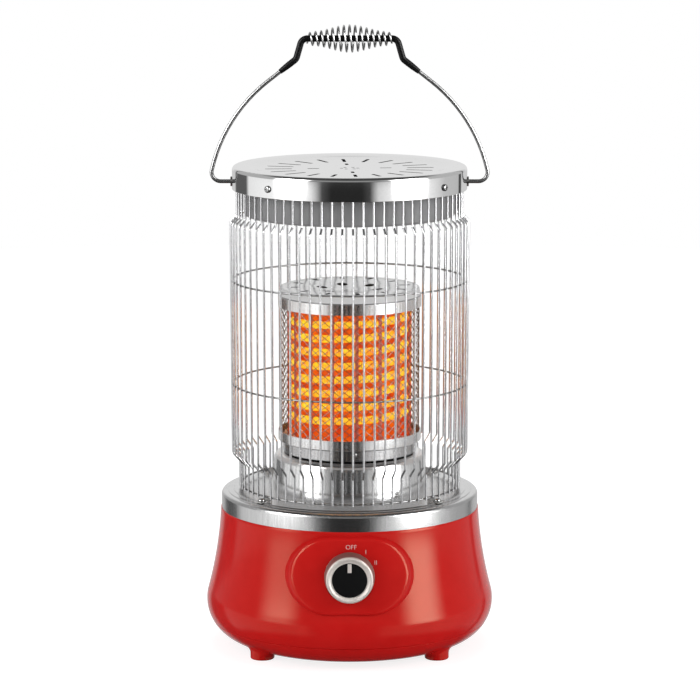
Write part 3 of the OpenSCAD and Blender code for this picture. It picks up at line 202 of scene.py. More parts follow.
room = bpy.data.worlds.new("room")
room.use_nodes = True
scene.world = room
tree = room.node_tree
sight = spot(tree, "Generated")
height = on_axis(tree, sight, "Z")
bearing = worked_out(tree, "ARCTAN2", on_axis(tree, sight, "X"), times(tree, on_axis(tree, sight, "Y"), -1.0))
share = worked_out(tree, "MULTIPLY_ADD", bearing, 0.5 / pi, 0.5)
walls = []
for levels in (ROOM_LOW, ROOM_HIGH):
    walls.append(add_node(tree, "ValToRGB", Fac=share))
    set_stops(walls[-1], [((angle + 180) / 360, grey(level)) for angle, level in levels])
around = mixed(tree, between(tree, height, LOW_TO_HIGH), *walls)
around = mixed(tree, between(tree, height, BOTTOM_TO_LOW), grey(ROOM_BOTTOM), around)
around = mixed(tree, between(tree, height, HIGH_TO_UP), around, grey(ROOM_UP), "LIGHTEN")
around = mixed(tree, between(tree, height, HIGH_TO_TOP), around, grey(ROOM_TOP))
path, seen = sight_paths(tree)
near = worked_out(tree, "LESS_THAN", path["Ray Depth"], STRIP_DEPTH)
window = times(tree, between(tree, height, STRIP_FOOT), between(tree, height, STRIP_HEAD), near)
for angle, half, low_level, high_level in STRIPS:
    off = worked_out(tree, "ABSOLUTE", worked_out(tree, "SUBTRACT", bearing, radians(angle)))
    edge = (radians(half + STRIP_SOFT), radians(half - STRIP_SOFT))
    strength = between(tree, height, STRIP_RISE, low_level, high_level)
    around = mixed(tree, 1.0, around, times(tree, between(tree, off, edge), window, strength), "ADD")
mirrored = mixed(tree, path["Is Glossy Ray"], grey(ROOM_AMBIENT), around)
plug(tree, mixed(tree, seen, mirrored, grey(1)), tree.nodes["Background"].inputs["Color"])

paper, tree, _ = new_finish("floor_paper")
lit = add_node(tree, "AddShader")
plug(tree, add_node(tree, "BsdfDiffuse", Color=grey(FLOOR_TONE)), lit.inputs[0])
plug(tree, add_node(tree, "Emission", Strength=FLOOR_GLOW), lit.inputs[1])
either = add_node(tree, "MixShader", Fac=sight_paths(tree)[1])
plug(tree, add_node(tree, "BsdfDiffuse", Color=grey(FLOOR_BOUNCE)), either.inputs[1])
plug(tree, lit, either.inputs[2])
plug(tree, either, tree.nodes["Material Output"].inputs["Surface"])

sheet = bmesh.new()
bmesh.ops.create_circle(sheet, cap_ends=True, segments=FLOOR_SIDES, radius=FLOOR_R)
floor_mesh = bpy.data.meshes.new("floor")
sheet.to_mesh(floor_mesh)
sheet.free()
floor_mesh.materials.append(paper)
floor = bpy.data.objects.new("floor", floor_mesh)
floor.visible_glossy = False
scene.collection.objects.link(floor)

heart = Vector((0, 0, (cad_low.z + cad_high.z) / 2))
for name, (angle, lift, distance, width, tall, power) in LAMPS.items():
    lamp_data = bpy.data.lights.new(name, "AREA")
    lamp_data.shape = "RECTANGLE"
    lamp_data.size = width
    lamp_data.size_y = tall
    lamp_data.energy = power
    lamp = bpy.data.objects.new(name, lamp_data)
    turn = radians(angle)
    rise = radians(lift)
    away = Vector((sin(turn) * cos(rise), -cos(turn) * cos(rise), sin(rise)))
    lamp.location = heart + distance * away
    lamp.rotation_euler = away.to_track_quat("Z", "Y").to_euler()
    lamp.visible_glossy = False
    scene.collection.objects.link(lamp)


# Bottom cover: the red moulding that closes the base from below, with four feet blended into its rounding.
# It is held by screws that go up through the feet into the posts of the base shell.
UNDERSIDE_Z = 0.005
ROUND_R = 0.040
BASE_WALL = 0.0025
SEAM_ANGLE = 30
SEAM_GAP = 0.05
SEAM_GROOVE = 0.0011
SEAM_GROOVE_ANGLE = 0.9
FOOT_R = 0.012
FOOT_EDGE_R = 0.0015
FOOT_AXIS_R = 0.1145
FOOT_ANGLE = 49
FOOT_BLEND_R = 0.008
FOOT_BLEND_SHARE = 0.9
FOOT_HOLE_R = 0.0042
FOOT_HOLE_H = 0.0104
FOOT_TOP_Z = 0.0135
FOOT_SIDES = 64
FOOT_SWEEP_STEPS = 10
# Rounds in which the blend and its reach settle
BLEND_ROUNDS = 6
REACH_ROUNDS = 4
# Tint of the red plastic's reflections: a painted warm light that stands in for the warm colour of the lamps
WARM_LAMP_TINT = (0.95, 1.0, 0.68, 1)
TURN_STEPS = 192
ARC_STEPS = 16
SHARP_EDGE = 20
GRAIN_DETAIL = 4.0
GRAIN_STOPS = (0.3, 0.7)
BASE_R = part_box("base_shell")[1].x
round_at = (BASE_R - ROUND_R, UNDERSIDE_Z + ROUND_R)
seam_r = ROUND_R - SEAM_GROOVE


def arc(centre, radius, start, end, steps=ARC_STEPS):
    """Points of an arc in the plane of radius and height, with its angles in degrees."""
    angles = [radians(start + (end - start) * i / steps) for i in range(steps + 1)]
    return [(centre[0] + radius * cos(a), centre[1] + radius * sin(a)) for a in angles]


def all_round(steps):
    """Angles of even steps round a circle."""
    return [2 * pi * i / steps for i in range(steps)]


def loft(rings, looped=False):
    """A shell through rings of points. A ring of one point closes the shell there."""
    shell = bmesh.new()
    rows = [[shell.verts.new(point) for point in ring] for ring in rings]
    pairs = list(zip(rows, rows[1:])) + ([(rows[-1], rows[0])] if looped else [])
    for low, high in pairs:
        count = max(len(low), len(high))
        if count == 1:
            continue
        for i in range(count):
            j = i + 1
            corners = [low[i % len(low)], low[j % len(low)], high[j % len(high)], high[i % len(high)]]
            shell.faces.new(list(dict.fromkeys(corners)))
    bmesh.ops.recalc_face_normals(shell, faces=shell.faces)
    return shell


def turned(outline, steps=TURN_STEPS):
    """A closed shell: an outline of radius and height turned about the heater's axis."""
    angles = all_round(steps)
    rings = [[(r * sin(a), -r * cos(a), z) for a in angles] if r > 0 else [(0, 0, z)]
             for r, z in outline]
    return loft(rings, looped=True)


def make_mesh(name, *shells, sharp=SHARP_EDGE):
    """A mesh of one or more shells, smooth but for its sharp edges."""
    whole = bmesh.new()
    for shell in shells:
        part = bpy.data.meshes.new("part")
        shell.to_mesh(part)
        shell.free()
        whole.from_mesh(part)
        bpy.data.meshes.remove(part)
    mesh = bpy.data.meshes.new(name)
    whole.to_mesh(mesh)
    whole.free()
    mesh.shade_smooth()
    mesh.set_sharp_from_angle(angle=radians(sharp))
    return mesh


def fit_piece(mesh, material, slot, *nodes, body="heater"):
    """Puts a mesh in the scene as the piece that stands for some of the solids."""
    mesh.materials.clear()
    mesh.materials.append(material)
    piece = bpy.data.objects.new(mesh.name, mesh)
    scene.collection.objects.link(piece)
    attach(piece, body)
    if nodes:
        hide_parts(*nodes)


def grained(name, dark, light, rough, grain, along=None, metallic=0.0, specular=0.5, bump=0.0, depth=0.0002):
    """A finish whose tone, gloss and relief wander with a noise, which may be stretched along its grain.
    Its tones are colours or greys."""
    material, tree, sockets = new_finish(name)
    sockets["Metallic"].default_value = metallic
    sockets["Specular IOR Level"].default_value = specular
    stretched = add_node(tree, "Mapping", Vector=spot(tree), Scale=(grain, grain, along or grain))
    noise = add_node(tree, "TexNoise", Vector=stretched, Scale=1.0, Detail=GRAIN_DETAIL).outputs["Fac"]
    tone = add_node(tree, "ValToRGB", Fac=noise)
    colours = [(*shade, 1) if isinstance(shade, tuple) else grey(shade) for shade in (dark, light)]
    set_stops(tone, list(zip(GRAIN_STOPS, colours)))
    plug(tree, tone, sockets["Base Color"])
    plug(tree, between(tree, noise, (0, 1), *rough, way="LINEAR"), sockets["Roughness"])
    if bump:
        plug(tree, add_node(tree, "Bump", Strength=bump, Distance=depth, Height=noise), sockets["Normal"])
    return material


def cover_height(radius):
    """Height of the cover's outer face at a radius."""
    return round_at[1] - sqrt(ROUND_R ** 2 - max(radius - round_at[0], 0.0) ** 2)


def foot_wall(centre, heading):
    """Points of a foot's wall, from its sole up to where it runs smoothly into the cover."""
    step = 0.0002

    def rise(reach):
        return cover_height((centre + reach * heading).length)

    blend = FOOT_BLEND_R
    for _ in range(BLEND_ROUNDS):
        reach = FOOT_R + blend
        for _ in range(REACH_ROUNDS):
            lean = atan2(rise(reach + step) - rise(reach - step), 2 * step)
            reach = FOOT_R + blend * (1 - sin(lean))
        room_above = FOOT_BLEND_SHARE * (rise(reach) - FOOT_EDGE_R) / cos(lean)
        blend = min(FOOT_BLEND_R, room_above)
    start = rise(reach) - blend * cos(lean)
    sole = [(FOOT_HOLE_R, FOOT_HOLE_H), (FOOT_HOLE_R, 0.0)]
    sole += arc((FOOT_R - FOOT_EDGE_R, FOOT_EDGE_R), FOOT_EDGE_R, -90, 0, 6)
    turns = [(pi / 2 - lean) * i / FOOT_SWEEP_STEPS for i in range(FOOT_SWEEP_STEPS + 1)]
    sweep = [(FOOT_R + blend * (1 - cos(t)), start + blend * sin(t)) for t in turns]
    return sole + sweep + [(reach + step, rise(reach) + 2 * step)]


def foot(angle):
    """A foot of the cover at an angle from the front."""
    turn = radians(angle)
    centre = Vector((sin(turn), -cos(turn))) * FOOT_AXIS_R
    columns = []
    for a in all_round(FOOT_SIDES):
        heading = Vector((cos(a), sin(a)))
        columns.append([(*(centre + r * heading), z) for r, z in foot_wall(centre, heading)])
    return loft([[(*centre, FOOT_HOLE_H)], *zip(*columns), [(*centre, FOOT_TOP_Z)]])


red_plastic = grained("red_gloss_plastic", (0.545, 0.0088, 0.0085), (0.572, 0.0105, 0.0102), (0.12, 0.16), 60,
                      specular=0.22, bump=0.04, depth=0.0003)
# The red's reflections take a warm tint, a painted warm light.
red_plastic.node_tree.nodes["Principled BSDF"].inputs["Specular Tint"].default_value = WARM_LAMP_TINT
cover_outline = [(0, UNDERSIDE_Z)]
cover_outline += arc(round_at, ROUND_R, -90, -SEAM_ANGLE - SEAM_GROOVE_ANGLE, 24)
cover_outline += arc(round_at, seam_r, -SEAM_ANGLE - SEAM_GAP, -90, 1)[:1]
cover_outline += arc(round_at, ROUND_R - BASE_WALL, -SEAM_ANGLE - SEAM_GAP, -90)
cover_outline += [(0, UNDERSIDE_Z + BASE_WALL)]
feet = [foot(angle) for angle in (FOOT_ANGLE, 180 - FOOT_ANGLE, 180 + FOOT_ANGLE, -FOOT_ANGLE)]
cover_mesh = make_mesh("bottom_moulding", turned(cover_outline), *feet)
fit_piece(cover_mesh, red_plastic, "red_plastic", "bottom_cover")


# Base shell: one red gloss moulding with a rounded foot and a hollow flare that runs up to the deck.
# It carries the deck on a collar, its lower edge meets the bottom cover at a fine groove, and a hole
# in its back takes the gland.
FLARE_LEAN = 15
TOP_LEAN = 3
# How far below the top the flare stops, in degrees, on its outer and its inner face
FLARE_STOPS = (0.1, 0.4)
TOP_EDGE_R = 0.0006
SHEET = 0.001
SLIP_GAP = 0.0003
COLLAR_GAP = 0.0005
FLANGE_T = 0.003
FLANGE_IN = 0.109
GLAND_HOLE_R = 0.0073
GLAND_HOLE_L = 0.020
DRILL_SIDES = 48
# The deck's rounded edge, the radii of two fine steps pressed in its rim, and the drop of each
DECK_EDGE_R = 0.004
DECK_STEPS = (0.1160, 0.1218)
DECK_DROP = 0.0007
deck_low, deck_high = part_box("deck")
DECK_R = deck_high.x
DECK_Z = deck_high.z
BASE_TOP_Z = deck_low.z
RIM_Z = DECK_Z - len(DECK_STEPS) * DECK_DROP

lean_cos, lean_sin = cos(radians(FLARE_LEAN)), sin(radians(FLARE_LEAN))
flare_low = (round_at[0] + ROUND_R * lean_cos, round_at[1] + ROUND_R * lean_sin)
flare_r = (BASE_TOP_Z - flare_low[1]) / (lean_sin - sin(radians(TOP_LEAN)))
flare_at = (flare_low[0] + flare_r * lean_cos, flare_low[1] + flare_r * lean_sin)


def base_radius(z):
    """Outer radius of the base on its flare."""
    return flare_at[0] - sqrt(flare_r ** 2 - (z - flare_at[1]) ** 2)


def as_mesh(name, thing):
    """The plain mesh that an object makes with its modifiers. The object itself is removed."""
    scene.collection.objects.link(thing)
    bpy.context.view_layer.update()
    mesh = bpy.data.meshes.new_from_object(thing.evaluated_get(bpy.context.evaluated_depsgraph_get()))
    bpy.data.objects.remove(thing)
    mesh.name = name
    return mesh


def drilled(name, shell, place, radius, depth):
    """A mesh of a shell with a round hole in it, drilled along the Z axis of a place."""
    bit = bmesh.new()
    bmesh.ops.create_cone(bit, cap_ends=True, segments=DRILL_SIDES, radius1=radius, radius2=radius,
                          depth=depth, matrix=place)
    drill = bpy.data.objects.new("drill", make_mesh("drill", bit))
    scene.collection.objects.link(drill)
    wall = bpy.data.objects.new("wall", make_mesh("wall", shell))
    cut = wall.modifiers.new("hole", "BOOLEAN")
    cut.object = drill
    cut.solver = "EXACT"
    mesh = as_mesh(name, wall)
    bpy.data.objects.remove(drill)
    mesh.set_sharp_from_angle(angle=radians(SHARP_EDGE))
    return mesh


def facing(y, z):
    """A place on the YZ plane whose Z axis points to the front."""
    return Matrix.Translation((0, y, z)) @ Matrix.Rotation(pi / 2, 4, "X")


top_r = base_radius(BASE_TOP_Z)
collar_r = DECK_R - SHEET - SLIP_GAP
deck_under = DECK_Z - SHEET
rim_under = RIM_Z - SHEET
shell_outline = arc(round_at, seam_r, -SEAM_ANGLE + SEAM_GAP, 0, 1)[:1]
shell_outline += arc(round_at, ROUND_R, -SEAM_ANGLE + SEAM_GROOVE_ANGLE, FLARE_LEAN, 24)
shell_outline += arc(flare_at, flare_r, 180 + FLARE_LEAN, 180 + TOP_LEAN + FLARE_STOPS[0], 40)[1:]
shell_outline += arc((top_r - TOP_EDGE_R, BASE_TOP_Z - TOP_EDGE_R), TOP_EDGE_R, 0, 90, 5)
shell_outline += [(collar_r, BASE_TOP_Z), (collar_r, RIM_Z - DECK_EDGE_R - COLLAR_GAP),
                  (DECK_R - DECK_EDGE_R - COLLAR_GAP, rim_under), (DECK_STEPS[0] - COLLAR_GAP, rim_under),
                  (FLANGE_IN, deck_under), (FLANGE_IN, deck_under - FLANGE_T),
                  (collar_r - BASE_WALL, deck_under - FLANGE_T),
                  (collar_r - BASE_WALL, BASE_TOP_Z - BASE_WALL)]
shell_outline += arc(flare_at, flare_r + BASE_WALL, 180 + TOP_LEAN + FLARE_STOPS[1], 180 + FLARE_LEAN, 20)
shell_outline += arc(round_at, ROUND_R - BASE_WALL, FLARE_LEAN, -SEAM_ANGLE + SEAM_GAP)[1:]
gland_low, gland_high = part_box("cord_gland")
gland_place = facing(BASE_R, (gland_low.z + gland_high.z) / 2)
shell_mesh = drilled("base_moulding", turned(shell_outline), gland_place, GLAND_HOLE_R, GLAND_HOLE_L)
fit_piece(shell_mesh, red_plastic, "red_plastic", "base_shell")


# Control panel: an oval red pad moulded to the front of the base, with a softly rounded rim and a face
# that leans back. A flat round seat is sunk in it for the knob.
PANEL_W = 0.126
PANEL_H = 0.073
PANEL_Z = 0.098
PANEL_RISE = 0.006
PANEL_FACE_R = 0.180
PANEL_LEAN = radians(8)
PANEL_DRAFT = tan(radians(22))
PANEL_SINK = 0.024
PANEL_EDGE = 0.0035
PANEL_EDGE_SHARE = 0.45
PANEL_BITE = 0.0004
PANEL_STEPS = 160
FACE_STEPS = 8
RIM_STEPS = 3
SEAT_SHARES = (0.35, 0.7, 1.0)
# How deep the rim's foot is looked for, and rounds in which its edge and its foot settle
RIM_SEARCH = 0.03
EDGE_ROUNDS = 12
SEARCH_ROUNDS = 30
SEAT_GAP = 0.0012
SEAT_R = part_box("knob_ring")[1].x + SEAT_GAP

wall_y = base_radius(PANEL_Z)
panel_y = wall_y + PANEL_RISE
end_depth = sqrt(wall_y ** 2 - (PANEL_W / 2) ** 2) - panel_y + PANEL_SINK
back_r = PANEL_H / 2 + PANEL_SINK * PANEL_DRAFT
half_run = PANEL_W / 2 + end_depth * PANEL_DRAFT - back_r
lean_up = Vector((0, sin(PANEL_LEAN), cos(PANEL_LEAN)))
lean_out = Vector((0, -cos(PANEL_LEAN), sin(PANEL_LEAN)))
panel_at = Vector((0, -panel_y, PANEL_Z))


def face_sink(x):
    """How far the panel's face has curved back at a distance from its middle."""
    return PANEL_FACE_R - sqrt(PANEL_FACE_R ** 2 - x ** 2)


def on_face(x, z):
    """The point of the panel's face in front of a place in the XZ plane."""
    up = (z - PANEL_Z + face_sink(x) * sin(PANEL_LEAN)) / cos(PANEL_LEAN)
    return panel_at + Vector((x, 0, 0)) + up * lean_up - face_sink(x) * lean_out


def on_rim(turn, depth):
    """The point of the panel's sloping rim at an angle and a depth from the back of its block."""
    radius = back_r - depth * PANEL_DRAFT
    across, up = cos(turn), sin(turn)
    reach = radius / max(abs(up), 1e-9)
    if reach * abs(across) > half_run:
        reach = half_run * abs(across) + sqrt(radius ** 2 - (half_run * up) ** 2)
    return panel_at + Vector((reach * across, 0, 0)) + reach * up * lean_up + (depth - PANEL_SINK) * lean_out


def panel_column(turn):
    """Points of the panel from its seat out over its face and rim, and down into the base."""
    edge_depth = PANEL_SINK
    for _ in range(EDGE_ROUNDS):
        edge_depth = PANEL_SINK - face_sink(on_rim(turn, edge_depth).x)
    corner = on_rim(turn, edge_depth)
    low_depth, foot_depth = edge_depth - RIM_SEARCH, edge_depth
    for _ in range(SEARCH_ROUNDS):
        middle = (low_depth + foot_depth) / 2
        point = on_rim(turn, middle)
        if hypot(point.x, point.y) < base_radius(point.z) - PANEL_BITE:
            low_depth = middle
        else:
            foot_depth = middle
    edge = min(PANEL_EDGE, PANEL_EDGE_SHARE * (edge_depth - foot_depth))
    inward = Vector((corner.x, corner.z - PANEL_Z)).normalized() * edge
    face_end = on_face(corner.x - inward[0], corner.z - inward[1])
    rim_start = on_rim(turn, edge_depth - edge)
    seat = Vector((SEAT_R * cos(turn), SEAT_R * sin(turn)))
    points = []
    for share in SEAT_SHARES:
        point = on_face(seat[0] * share, PANEL_Z + seat[1] * share)
        points.append(Vector((point.x, max(point.y, -panel_y), point.z)))
    lip = on_face(seat[0], PANEL_Z + seat[1])
    for i in range(FACE_STEPS + 1):
        point = lip.lerp(face_end, i / FACE_STEPS)
        points.append(on_face(point.x, point.z))
    for i in range(1, FACE_STEPS):
        t = i / FACE_STEPS
        points.append((1 - t) ** 2 * face_end + 2 * t * (1 - t) * corner + t * t * rim_start)
    for i in range(RIM_STEPS + 1):
        points.append(on_rim(turn, edge_depth - edge + (foot_depth - edge_depth + edge) * i / RIM_STEPS))
    return points


columns = [panel_column(2 * pi * (i + 0.5) / PANEL_STEPS) for i in range(PANEL_STEPS)]
panel_shell = loft([[panel_at], *zip(*columns), [Vector((0, -wall_y + BASE_WALL, PANEL_Z))]])
bmesh.ops.remove_doubles(panel_shell, verts=panel_shell.verts, dist=1e-6)
bmesh.ops.recalc_face_normals(panel_shell, faces=panel_shell.faces)
fit_piece(make_mesh("panel_moulding", panel_shell), red_plastic, "red_plastic", "control_panel")


# Dial marks: the switch positions, printed in pale ink on the panel round the knob.
# They are plain letters and strokes, about a quarter of a millimetre thick where the face curves under them.
MARK_R = 0.0285
MARK_H = 0.0044
LETTER_SHARE = 0.7
MARK_THIN = 0.00012
MARK_LIFT = 0.00012
MARKS = (("OFF", 3), ("I", 33.5), ("II", 62.5))

mark_ink = grained("mark_ink", (0.72, 0.66, 0.64), (0.82, 0.77, 0.75), (0.4, 0.5), 900)
mark_shells = []
for words, angle in MARKS:
    letters = bpy.data.curves.new("letters", "FONT")
    letters.body = words
    letters.align_x = "CENTER"
    letters.align_y = "CENTER"
    letters.size = MARK_H / LETTER_SHARE
    letters.resolution_u = 4
    letters.offset = -MARK_THIN
    mark = bmesh.new()
    mark.from_mesh(as_mesh("letters", bpy.data.objects.new("letters", letters)))
    bmesh.ops.remove_doubles(mark, verts=mark.verts, dist=1e-7)
    turn = radians(angle)
    for vert in mark.verts:
        x = MARK_R * sin(turn) + vert.co.x
        z = PANEL_Z + (MARK_R * cos(turn) + vert.co.y) * cos(PANEL_LEAN)
        vert.co = on_face(x, z) + MARK_LIFT * lean_out
    solid = bmesh.ops.extrude_face_region(mark, geom=list(mark.faces))
    for item in solid["geom"]:
        if isinstance(item, bmesh.types.BMVert):
            item.co -= 2 * MARK_LIFT * lean_out
    bmesh.ops.recalc_face_normals(mark, faces=mark.faces)
    mark_shells.append(mark)
fit_piece(make_mesh("dial_marks", *mark_shells), mark_ink, "pale_plastic")


# Inside the base: the rotary switch, the terminal block, the tip-over switch with its plunger and spring,
# the thermal cutout, the leads and the cord gland, each screwed or riveted to the mouldings.
def finish(material, *names):
    """Gives solids that stay as they are their finish."""
    for name in names:
        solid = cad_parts[name]
        if not solid.material_slots:
            solid.data.materials.append(material)
        for slot in solid.material_slots:
            slot.material = material


pale_plastic = grained("pale_plastic", (0.66, 0.63, 0.55), (0.74, 0.71, 0.63), (0.45, 0.6), 250, bump=0.1)
black_plastic = grained("black_plastic", (0.012, 0.012, 0.013), (0.022, 0.022, 0.024), (0.35, 0.5), 700,
                        bump=0.15, depth=0.0001)
plated_steel = grained("plated_steel", (0.58, 0.57, 0.55), (0.72, 0.71, 0.70), (0.18, 0.32), 300,
                       metallic=1.0, bump=0.06, depth=0.0001)
lead_sleeve = grained("lead_sleeve", (0.20, 0.19, 0.18), (0.30, 0.29, 0.27), (0.6, 0.8), 500, 90, bump=0.2)
finish(pale_plastic, "switch_body", "terminal_block", "tip_plunger")
finish(black_plastic, "thermal_cutout", "tip_switch", "cord_gland")
finish(plated_steel, "bottom_screws", "switch_screws", "terminal_screws", "tip_screws", "tip_spring",
       "cutout_rivets", "switch_shaft")
finish(lead_sleeve, "internal_leads")


# Deck: a polished sheet-steel pan that drops over the base's collar, with a turned-down skirt.
# Its rim has two fine pressed steps, and its top is painted a little brighter than its skirt, a painted light
# on the face that looks up.
# How much brighter the top is painted, a painted light, and the band under the rim where it sets in
DECK_TOP_PAINTED_LIGHT = 1.25
DECK_TOP_BAND = (-0.0020, -0.0004)


def surface(material):
    """A finish's tree, its shader's sockets, its own tone, and the place on the piece."""
    tree = material.node_tree
    sockets = tree.nodes["Principled BSDF"].inputs
    return tree, sockets, sockets["Base Color"].links[0].from_socket, spot(tree)


deck_steel = grained("deck_steel", 0.60, 0.66, (0.20, 0.26), 420, 60, metallic=1.0)
tree, sockets, bright, place = surface(deck_steel)
# Painted light: the top's tone is raised above the skirt's.
painted_top_light = between(tree, on_axis(tree, place, "Z"), DECK_TOP_BAND, 1.0, DECK_TOP_PAINTED_LIGHT, RIM_Z)
plug(tree, mixed(tree, 1.0, bright, painted_top_light, "MULTIPLY"), sockets["Base Color"])
edge_at = (DECK_R - DECK_EDGE_R, RIM_Z - DECK_EDGE_R)
deck_top = [(0, DECK_Z)]
for i, step_r in enumerate(DECK_STEPS):
    deck_top += [(step_r, DECK_Z - i * DECK_DROP), (step_r + DECK_DROP, DECK_Z - (i + 1) * DECK_DROP)]
deck_outline = [(r, z - SHEET) for r, z in deck_top]
deck_outline += arc(edge_at, DECK_EDGE_R - SHEET, 90, 0)
deck_outline += [(DECK_R - SHEET, BASE_TOP_Z), (DECK_R, BASE_TOP_Z)]
deck_outline += arc(edge_at, DECK_EDGE_R, 0, 90) + list(reversed(deck_top))
fit_piece(make_mesh("deck_pan", turned(deck_outline)), deck_steel, "polished_steel", "deck")


# Tabs and their screws: four bent strips that hold the guard's lowest ring down on the deck.
# Each is held by one pan-head screw that goes through the deck into a post.
bright_screw = grained("bright_screw", 0.50, 0.64, (0.16, 0.28), 500, metallic=1.0, bump=0.05, depth=0.0001)
finish(plated_steel, "cage_tabs")
finish(bright_screw, "tab_screws")


# Pedestal and holder: a drum of satin chrome that stands on the deck and leans in a little, and on it
# a darker steel collar. The collar takes the spigot of the element's tray and three small screws.
PEDESTAL_EDGE_R = 0.006
PEDESTAL_LEAN = 3
PEDESTAL_HOLE_R = 0.040
HOLDER_WALL = 0.0012
HOLDER_FLANGE = 0.009
HOLDER_EDGE = 0.0007
HOLDER_FOOT = 0.0020
# Painted shade: dark lines painted along the collar's foot and its upper edge, where its shadow gaps fall
HOLDER_PAINTED_SHADE = 0.08
SHADE_AT_FOOT = (0.0008, 0.0012)
SHADE_AT_EDGE = (-0.0011, -0.0007)
drum_low, drum_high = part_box("pedestal")
collar_low, collar_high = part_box("element_holder")

satin_chrome = grained("satin_chrome", 0.93, 0.97, (0.14, 0.19), 300, 60, metallic=1.0)
drum_top_r = drum_high.x - (drum_high.z - drum_low.z) * tan(radians(PEDESTAL_LEAN))
drum_edge = (drum_top_r - PEDESTAL_EDGE_R, drum_high.z - PEDESTAL_EDGE_R)
drum_outline = [(drum_high.x, drum_low.z)]
drum_outline += arc(drum_edge, PEDESTAL_EDGE_R, PEDESTAL_LEAN, 90)
drum_outline += [(PEDESTAL_HOLE_R, drum_high.z), (PEDESTAL_HOLE_R, drum_high.z - SHEET)]
drum_outline += arc(drum_edge, PEDESTAL_EDGE_R - SHEET, 90, PEDESTAL_LEAN)
drum_outline += [(drum_high.x - SHEET, drum_low.z)]
fit_piece(make_mesh("pedestal_drum", turned(drum_outline)), satin_chrome, "polished_steel", "pedestal")

dark_steel = grained("dark_steel", (0.58, 0.58, 0.585), (0.66, 0.66, 0.665), (0.14, 0.20), 260, 120,
                     metallic=1.0)
tree, sockets, bright, place = surface(dark_steel)
rise = on_axis(tree, place, "Z")
# The collar's tone darkens at its foot and at its upper edge: painted shade.
painted_gap_shade = times(tree, between(tree, rise, SHADE_AT_FOOT, HOLDER_PAINTED_SHADE, 1.0, collar_low.z),
               between(tree, rise, SHADE_AT_EDGE, 1.0, HOLDER_PAINTED_SHADE, collar_high.z))
plug(tree, mixed(tree, 1.0, bright, painted_gap_shade, "MULTIPLY"), sockets["Base Color"])
holder_r = collar_high.x
holder_inner = holder_r - HOLDER_WALL
holder_floor = collar_low.z + HOLDER_WALL
holder_outline = [(holder_r - HOLDER_FOOT, collar_low.z), (holder_r, collar_low.z + HOLDER_FOOT),
                  (holder_r, collar_high.z - HOLDER_EDGE), (holder_r - HOLDER_EDGE, collar_high.z),
                  (holder_inner, collar_high.z), (holder_inner, collar_low.z + HOLDER_FOOT),
                  (holder_inner - HOLDER_FOOT, holder_floor), (holder_r - HOLDER_FLANGE, holder_floor),
                  (holder_r - HOLDER_FLANGE, collar_low.z)]
fit_piece(make_mesh("holder_collar", turned(holder_outline)), dark_steel, "dark_steel", "element_holder")
finish(bright_screw, "holder_screws")


# Element's foot: a shallow tray of polished steel with a spigot, and in it a ceramic disc.
# Brass terminals pass through ceramic bushes in the tray, and a rod ties the whole stack to the deck.
BAND_T = 0.001
SPIGOT_H = 0.008
SPIGOT_FIT = 0.00015
TRAY_EDGE_R = 0.0012
tray_low, tray_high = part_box("lower_tray")
tray_r = tray_high.x
tray_under = tray_low.z + SPIGOT_H
tray_floor = tray_under + BAND_T
spigot_r = holder_inner - SPIGOT_FIT

band_steel = grained("band_steel", 0.86, 0.93, (0.15, 0.20), 500, 60, metallic=1.0)
white_ceramic = grained("white_ceramic", (0.62, 0.56, 0.50), (0.74, 0.69, 0.62), (0.5, 0.7), 220, bump=0.2)
# The upper insulator is given a near-black tone.
sooty_ceramic = grained("sooty_ceramic", (0.020, 0.018, 0.017), (0.040, 0.036, 0.034), (0.6, 0.8), 220,
                        bump=0.2)
brass = grained("brass", (0.62, 0.42, 0.14), (0.76, 0.55, 0.22), (0.22, 0.38), 300, metallic=1.0)
tray_outline = [(0, tray_under), (spigot_r - BAND_T, tray_under), (spigot_r - BAND_T, tray_low.z),
                (spigot_r, tray_low.z), (spigot_r, tray_under)]
tray_outline += arc((tray_r - TRAY_EDGE_R, tray_under + TRAY_EDGE_R), TRAY_EDGE_R, -90, 0, 6)
tray_outline += [(tray_r, tray_high.z), (tray_r - BAND_T, tray_high.z), (tray_r - BAND_T, tray_floor),
                 (0, tray_floor)]
fit_piece(make_mesh("element_tray", turned(tray_outline)), band_steel, "polished_steel", "lower_tray")
finish(white_ceramic, "lower_insulator", "terminal_bushes")
finish(sooty_ceramic, "upper_insulator")
finish(brass, "element_terminals")
finish(plated_steel, "tie_rod", "tie_nuts")


# Ceramic core: the former of the element, a fired tube with upright ribs that the winding is threaded
# through. The tube glows dull red between the turns, and the ribs stay a pinkish grey.
CORE_GLOW = 0.80
RIB_GLOW = 0.13
RIB_RISE = (0.0600, 0.0616)
CORE_DARK = (0.10, 0.016, 0.008, 1)
CORE_PATCHES = 70.0
CORE_EMBERS = ((0.35, (0.66, 0.034, 0.003, 1)), (0.65, (1.0, 0.15, 0.006, 1)))
PATCH_DETAIL = 3.0


def reach_of(tree, place):
    """How far a place is from the heater's axis."""
    flat = add_node(tree, "VectorMath", {"operation": "MULTIPLY"}, Vector=place)
    flat.inputs[1].default_value = (1, 1, 0)
    return add_node(tree, "VectorMath", {"operation": "LENGTH"}, Vector=flat).outputs["Value"]


def glow_in_patches(tree, place, scale, stops):
    """Gives a finish a glow whose colour wanders, and returns the noise that it follows."""
    patches = add_node(tree, "TexNoise", Vector=place, Scale=scale, Detail=PATCH_DETAIL).outputs["Fac"]
    ember = add_node(tree, "ValToRGB", Fac=patches)
    set_stops(ember, stops)
    plug(tree, ember, tree.nodes["Principled BSDF"].inputs["Emission Color"])
    return patches


